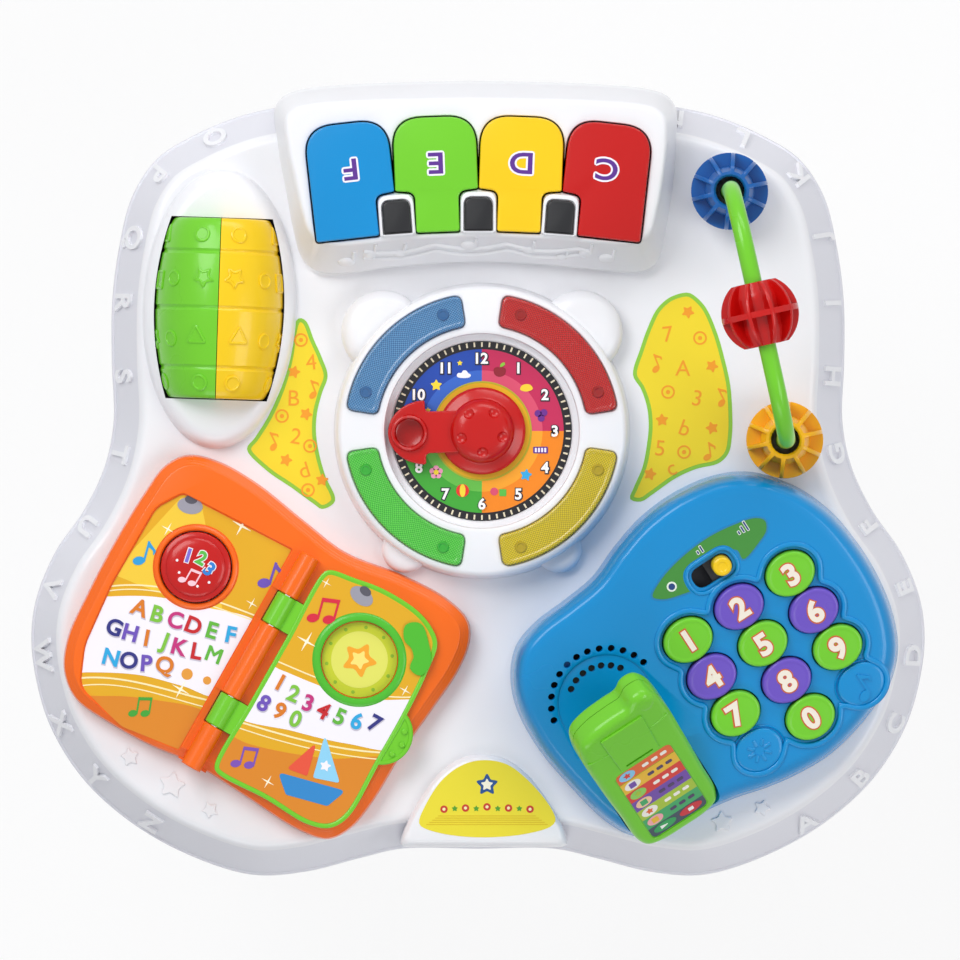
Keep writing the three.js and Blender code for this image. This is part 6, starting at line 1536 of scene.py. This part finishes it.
def keypad_outline(growth):
    """Scalloped outline round the keys and the empty ovals, as seen from the middle of the keypad."""
    spots = [(x, y, growth) for _, x, y in NUMBERS] + [(x, y, growth - 2.4) for x, y in EMPTY_OVALS]
    cx, cy = KEYPAD_X, KEYPAD_TOP - 1.5 * NUMBER_PITCH_Y
    points, count = [], 320
    for angle in np.linspace(0, 2 * math.pi, count, endpoint=False):
        dx, dy = math.cos(angle), math.sin(angle)
        far = 0
        for x, y, more in spots:
            a, b = NUMBER_HALF_WIDTH + more, NUMBER_HALF_HEIGHT + more
            ex, ey = (x - cx) / a, (y - cy) / b
            ux, uy = dx / a, dy / b
            square, linear_part = ux * ux + uy * uy, -2 * (ux * ex + uy * ey)
            disc = linear_part**2 - 4 * square * (ex * ex + ey * ey - 1)
            if disc > 0:
                far = max(far, (-linear_part + math.sqrt(disc)) / (2 * square))
        points.append((cx + far * dx, cy + far * dy))
    ring = flat(points)
    for _ in range(3):
        ring = (np.roll(ring, 1, 0) + ring * 2 + np.roll(ring, -1, 0)) / 4
    return evenly(ring, count)


def slot_ring(growth):
    half = SLOT_TRAVEL / 2 + SLOT_HALF + growth
    return rounded(half, SLOT_HALF + growth, SLOT_HALF + growth - 0.05, SLOT_X, SLOT_Y, 8)


def handset_ring(growth=0.0):
    ring = smooth(scaled(HANDSET, HANDSET_HALF_WIDTH, HANDSET_HALF_LENGTH), 160)
    return inset(ring, -growth) + np.array([0, HANDSET_MIDDLE, 0])


def empty_oval_parts():
    """The two raised ovals without a key, one with a sun and one with a note."""
    floor = KEYPAD_FLOOR
    top = floor + 2.2
    parts = []
    for x, y in EMPTY_OVALS:
        levels = [(0, floor - 1), (0, floor + 1.2), *brim(top, 2.0, 1.0, 4)]
        parts.append(loft([at(oval(-0.4 - run, x, y), z) for run, z in levels]))
        hoop = ((1.2, floor - 0.3), (1.2, floor + 0.5), (0.8, floor + 0.9), (0.3, floor + 0.5), (0.3, floor - 0.3))
        parts.append(loft([at(oval(g, x, y), z) for g, z in hoop], endless=True))
    (sx, sy), (nx, ny) = EMPTY_OVALS
    levels = (((3.2, 0.8, 0.7), -0.3), ((3.2, 0.8, 0.7), 0.3), ((2.8, 0.4, 0.35), 0.6))
    ray = loft([at(rounded(*size), z) for size, z in levels])
    for a in range(0, 360, 45):
        m = place(sx + 4.62 * math.cos(rad(a)), sy + 4.2 * math.sin(rad(a)), top, a)
        parts.append(moved(ray, m @ Matrix.Diagonal((0.62, 1, 1, 1))))
    parts.append(note_parts(13.5, top - 0.3, top + 0.8, nx - 0.4, ny - 0.6))
    return parts


def build_phone():
    outline = smooth(scaled(PHONE, PHONE_HALF_WIDTH, PHONE_HALF_HEIGHT), 300)
    foot, floor = SEAT_GAP - PHONE_RISE, KEYPAD_FLOOR
    rings = [at(inset(face_ring(outline), 10), -3.2), risen(inset(outline, 4.5), 0.5)]
    rings.append(on_face(at(inset(outline, 3), foot)))
    for run, share in ((0.3, 0), (0, 0.02), (0.4, 0.2), (1.5, 0.58), *brim(1, 7, 0.42, 8, 1.5)[:-1]):
        rings.append(risen(inset(outline, run), share))
    rings += [face_ring(inset(outline, 8.5)), face_ring(inset(outline, 12))]
    grille = [(0, -1), (24.2, -1), (24.8, -0.2), (25.2, 0.05), (25.4, 3), (0, 3)]
    cuts = [
        stack(keypad_outline(2.7), (0, floor), (0, -0.3), (-0.4, 0.05), (-0.6, 3)),
        stack(slot_ring(2.1), (0, floor), (0, -0.3), (-0.3, 0.05), (-0.5, 3)),
        shift(turned(grille, 96), GRILLE_X, GRILLE_Y),
    ]
    body = boolean(loft(rings), cuts)
    rows = {}
    for _, x, y in NUMBERS:
        levels = ((0, -8), (0, floor - 0.4), (-0.4, floor + 0.05), (-0.5, 2))
        rows.setdefault(y, []).append(stack(oval(RUN_GAP, x, y), *levels))
    holes = [stack(slot_ring(0), (0, -8), (0, floor - 0.3), (-0.3, floor + 0.05), (-0.4, 2))]
    for reach, count, first, sweep, lip in ((28.0, 13, 14, 152, -0.1), (19.0, 7, 34, 92, -0.9)):
        hole = turned([(0, -8), (1.8, -8), (1.8, lip), (2.1, 0.3), (2.2, 2), (0, 2)], 20)
        for a in np.radians(np.linspace(first, first + sweep, count)):
            holes.append(shift(hole, GRILLE_X + reach * math.cos(a), GRILLE_Y + reach * math.sin(a)))
    pocket = moved(prism(handset_ring(0.6), -HANDSET_BACK - 0.3, HANDSET_FRONT + 0.3), HANDSET_ON_PHONE)
    body = boolean(body, [merged(*holes), *[merged(*row) for row in rows.values()], pocket])
    ridges = [
        tube(keypad_outline(3.5), 1.5, 14, closed=True, squash=0.7),
        tube(slot_ring(2.6), 1.0, 12, closed=True, squash=0.7),
    ]
    # the rest that carries the back of the handset
    upright = Matrix.Rotation(rad(-PHONE_TILT), 4, "X") @ Matrix.Translation((HANDSET_X, -31, 0))
    rest = moved(block(-15, 15, -12, 12, foot, foot + 102), upright)
    rest = boolean(rest, [moved(block(-51, 51, -102, 102, -HANDSET_BACK - 0.3, 204), HANDSET_ON_PHONE)])
    whole = moved(merged(body, *ridges, *empty_oval_parts(), rest), AT_PHONE)
    make("phone_shell", (whole, BLUE), "table", ["phone_housing"], 38)
    # a dark sheet inside the shell under the face: painted shade seen through the key gaps and grille holes
    plate = moved(prism(inset(face_ring(outline), 10), -9.3, -8.9), AT_PHONE)
    make("phone_inner_shade_sheet", (plate, DARK), "table")


def build_number_keys():
    top = 4 + KEYPAD_FLOOR
    levels = [(0, -6), (0, top - 1.4), *brim(top, 1.3, 1.4), (1.9, top + 0.02), (2.3, top - 0.12), (3.0, top - 0.05)]
    for digit, x, y in NUMBERS:
        look, slot = (GREEN, "green_plastic") if digit % 2 or not digit else (PURPLE, "purple_plastic")
        cap = loft([at(oval(-run, x, y, 72), z) for run, z in levels])
        body = "number_key_%d" % digit
        make("key_cap_%d" % digit, (moved(cap, AT_PHONE), look), body, [body])
        prints = Prints("key_digit_%d" % digit, body, AT_PHONE, slot)
        for code, rise, bold in ((0xC9602F, 0.1, 0.085), (0xEFE6D8, 0.3, 0.04)):
            prints.add(code, word(str(digit), 15.5, top - 0.3, top + rise, bold=bold, x=x, y=y))
        prints.finish()


def build_volume():
    x, y = SLOT_X + SLOT_TRAVEL / 2, SLOT_Y
    knob = turned([(0, -4), (5, -4), (5, 3.0), (4.7, 4.0), (4.0, 4.5), (2.6, 4.5), (2.2, 4.2), (0, 4.1)], 48)
    flange = prism(rounded(8, 8, 3, x, y), -4.9, -3.3)
    looks = [(moved(shift(knob, x, y), AT_PHONE), YELLOW), (moved(flange, AT_PHONE), BLACK)]
    make("volume_knob_cap", looks, "volume_knob", ["volume_knob"])
    prints = Prints("volume_label", "table", AT_PHONE, "green_plastic")
    label = [
        (-3, 41), (3, 45), (16, 49), (36, 51), (53, 49), (63, 46), (66, 42.5), (64, 38), (58, 35), (46, 32),
        (46, 37.5), (42, 40), (30, 41.5), (21, 40), (18, 38), (18, 33), (10, 34), (1, 37),
    ]
    outline = smooth([(px, py / math.cos(rad(PHONE_TILT))) for px, py in label][::-1], 120)
    clear = prism(slot_ring(4.2), -2, 2)
    prints.add(0x1C7FB8, boolean(prism(inset(outline, -0.9), *layer(0, 0)), [clear]))
    prints.add(0x3E8A35, boolean(prism(outline, *layer(0, 1)), [clear]))
    pale, navy = 0xE8F0E4, 0x1D3E7A
    prints.lay(pale, 2, ellipse(2.6, 2.6, 28, 8, 41))
    prints.lay(navy, 3, ellipse(1.7, 1.7, 28, 8, 41))
    for px, py, bars in ((31, 48.5, 2), (54, 45.5, 3)):  # soft and loud as bars
        for n in range(bars):
            spot_x, spot_y = px + 2.4 * n - 2.4, py + 0.54 * n
            prints.lay(pale, 2, rounded(0.75, 1.2 + 0.9 * n, 0.5, spot_x, spot_y))
            prints.lay(navy, 3, rounded(0.4, 0.85 + 0.9 * n, 0.3, spot_x, spot_y))
    prints.finish()


def build_handset():
    ring = handset_ring()
    mid, front, back = HANDSET_MIDDLE, HANDSET_FRONT, HANDSET_BACK

    def shell(depth, sign, edge):
        levels = [(2.2, 0.15), (0, 0.15), (0, depth - edge), *brim(depth, edge, edge, 7), (edge + 1.5, depth)]
        return stack(ring, *[(run, sign * z) for run, z in levels])

    def shell_piece(name, node, parts):
        make(name, (moved(merged(*parts), AT_HANDSET), GREEN), "handset", [node])

    screen = rounded(17, 28.6, 4, 0, mid - 16)
    hollow = stack(screen, (0, front - 0.8), (0, front - 0.3), (-0.4, front + 0.05), (-0.6, front + 3))
    # raised band with a slit, a crease across the head and the stub of the aerial
    band_ring = filleted([(-11.5, mid + 14.4), (11.5, mid + 14.4), (12.5, mid + 43), (-12.5, mid + 43)], 1.6)
    band = stack(band_ring, (0, front - 2), (0, front + 0.7), (0.5, front + 1.2))
    band = boolean(band, [prism(rounded(8, 0.7, 0.6, 0, mid + 17.2), front + 0.2, front + 3)])
    crease = tube([(x, mid + 30 + 0.004 * x * x, front - 0.15) for x in np.linspace(-24, 24, 21)], 0.5, 8)
    levels = ((0, -6), (0, front - 3), (0.6, front - 1.2), (2.0, front - 0.1), (3.8, front + 0.2))
    nub = loft([at(ellipse(6.2 - m, 6.2 - m, 40, 17.2, mid + 47), z) for m, z in levels])
    face = boolean(shell(front, 1, 4.5), [hollow])
    shell_piece("handset_front_shell", "handset_front", [face, band, nub, crease])
    shell_piece("handset_back_shell", "handset_back", [shell(back, -1, 4)])
    screws = [shift(pin(2.6, -back - 0.05, -back + 0.5, 24), 0, y) for y in (mid + 34, mid - 30)]
    make("handset_back_screws", (moved(merged(*screws), AT_HANDSET), DARK), "handset")
    build_handset_label(screen)


def build_handset_label(screen):
    """Coloured bars with plain marks."""
    z = HANDSET_FRONT - 0.8
    prints = Prints("handset_label", "handset", AT_HANDSET, "green_plastic", z)
    codes = [0xE2662F, 0xE9B832, 0xD63C33, 0x6F49A5, 0xA7C23A, 0x3FA564, 0x3B4A58]
    top_y, step = HANDSET_MIDDLE + 12.4, 8.1
    clip = prism(inset(screen, 0.5), z - 1, z + 2)
    for k, code in enumerate(codes):
        y1 = top_y - step * k + (0.4 if k == 0 else 0)
        prints.lay(code, 0, box_ring(-18, 18, y1 - step, y1), within=clip)
    dots = [0x86C5E8, 0xF2EFE6, 0x8CCB5A, 0xF1C6A0, 0xF2EFE6, 0xF2A9B0]
    for k in range(6):
        y = top_y - step * (k + 0.5)
        prints.lay(dots[k], 1, ellipse(4.6, 3.2, 32, -10.5, y))
        inner = rounded(1.9, 1.9, 0.6, -10.5, y) if k % 2 else star_ring(2.4, -10.5, y)
        prints.lay(codes[(k + 2) % 6], 2, inner)
        dashes = [rounded(1.9, 1.1, 1.0, 0.5 + 5.4 * n, y) for n in range(3)]
        prints.lay(0x4A3A5E if k % 2 else 0xF6F1E8, 1, *dashes)
    y = top_y - step * 6.45
    prints.lay(0x2E9E57, 1, ellipse(6.6, 2.9, 36, -7.8, y))
    prints.lay(0xC9303A, 1, ellipse(6.6, 2.9, 36, 7.8, y))
    arrow = filleted([(-10.4, y - 1.3), (-5.6, y), (-10.4, y + 1.3)], 0.3)
    prints.lay(0xF2F2EE, 2, arrow, rounded(1.5, 1.2, 0.3, 7.8, y))
    prints.finish()


# ---------------------------------------------------------------- pieces that keep their CAD solid
def dress_nodes():
    looks = {
        "bottom_shell": WHITE, "battery_door": WHITE, "battery_door_screw": STEEL, "main_board": BOARD,
        "keypad_board": BOARD, "battery_1": CELL, "battery_2": CELL, "battery_3": CELL, "roller_axle": GREY,
        "roller_well": BLACK, "dial_plate": GREY, "clock_hand_shaft": GREY, "book_hinge_pin": STEEL,
        "loudspeaker": BLACK,
    }
    for name, look in looks.items():
        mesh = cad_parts[name].data
        if not mesh.materials:
            mesh.materials.append(look)
        for k in range(len(mesh.materials)):
            mesh.materials[k] = look


# ---------------------------------------------------------------- studio
def seen_directly(tree):
    """1 where a surface is seen straight, in a reflection or through clear plastic, else 0."""
    rays = add_node(tree, "LightPath")
    total = rays.outputs["Is Camera Ray"]
    for name in ("Is Glossy Ray", "Is Transmission Ray"):
        either = math_node(tree, "MAXIMUM")
        tree.links.new(total, either.inputs[0])
        tree.links.new(rays.outputs[name], either.inputs[1])
        total = either.outputs[0]
    return total


def mix_in(tree, share, unseen, seen, output):
    """Sends one of two shaders to the output: the second where the share is 1."""
    mix = add_node(tree, "MixShader")
    tree.links.new(share, mix.inputs[0])
    tree.links.new(unseen.outputs[0], mix.inputs[1])
    tree.links.new(seen.outputs[0], mix.inputs[2])
    tree.links.new(mix.outputs[0], add_node(tree, output).inputs["Surface"])


def build_studio():
    scene = bpy.context.scene
    scene.view_settings.view_transform = "Standard"
    white = (1, 1, 1, 1)
    material = bpy.data.materials.new("floor_paint")
    material.use_nodes = True
    tree = material.node_tree
    tree.nodes.clear()
    paint = add_node(tree, "BsdfDiffuse", Roughness=0.9, Color=(0.86, 0.86, 0.87, 1))
    glow = add_node(tree, "Emission", Color=white, Strength=1.0)
    share = math_node(tree, "MULTIPLY", 0.86)  # the rest of the floor takes light and keeps the shadow
    tree.links.new(seen_directly(tree), share.inputs[0])
    mix_in(tree, share.outputs[0], paint, glow, "OutputMaterial")
    mesh = bpy.data.meshes.new("floor")
    size, below = 30, -0.0001
    mesh.from_pydata([(x * size, y * size, below) for x, y in ((-1, -1), (1, -1), (1, 1), (-1, 1))], [], [(0, 1, 2, 3)])
    mesh.materials.append(material)
    floor = bpy.data.objects.new("floor", mesh)
    scene.collection.objects.link(floor)

    world = bpy.data.worlds.new("studio")
    scene.world = world
    world.use_nodes = True
    tree = world.node_tree
    tree.nodes.clear()
    soft = add_node(tree, "Background", Color=(0.95, 0.97, 1.0, 1), Strength=0.36)
    seen = add_node(tree, "Background", Color=white, Strength=1.0)
    mix_in(tree, seen_directly(tree), soft, seen, "OutputWorld")

    lamps = [
        ("key_lamp", (-0.9, 1.0, 1.9), 1.1, 1.1, 23.5),
        ("rear_lamp", (0.5, 1.7, 1.4), 1.6, 0.6, 12),
        ("fill_lamp", (1.3, -0.4, 1.6), 1.0, 0.8, 9),
        ("front_lamp", (-0.2, -1.7, 1.4), 1.4, 0.6, 7),
    ]
    for name, place_of, width, height, power in lamps:
        lamp = bpy.data.lights.new(name, "AREA")
        lamp.shape = "RECTANGLE"
        lamp.size, lamp.size_y, lamp.energy = width, height, power
        obj = bpy.data.objects.new(name, lamp)
        obj.location = place_of
        aim = Vector((0, 0, DECK * MM)) - Vector(place_of)
        obj.rotation_euler = aim.to_track_quat("-Z", "Y").to_euler()
        scene.collection.objects.link(obj)

    camera = bpy.data.cameras.new("camera")
    distance, view_width = 7.0, 0.4912
    camera.sensor_width = 36
    camera.lens = camera.sensor_width * distance / view_width
    camera.clip_start, camera.clip_end = 0.1, 100
    obj = bpy.data.objects.new("camera", camera)
    obj.location = (0.00102, 0.00026, DECK * MM + distance)
    scene.collection.objects.link(obj)
    scene.camera = obj


build_studio()
dress_nodes()
build_skirt_letters(build_shell())
for build in (
    build_deck_stars, build_boss_label, build_decals, build_legs, build_roller, build_piano, build_clock, build_dial,
    build_hand, build_arch, build_book, build_song_button, build_page, build_window_disc, build_phone,
    build_number_keys, build_volume, build_handset,
):
    build()
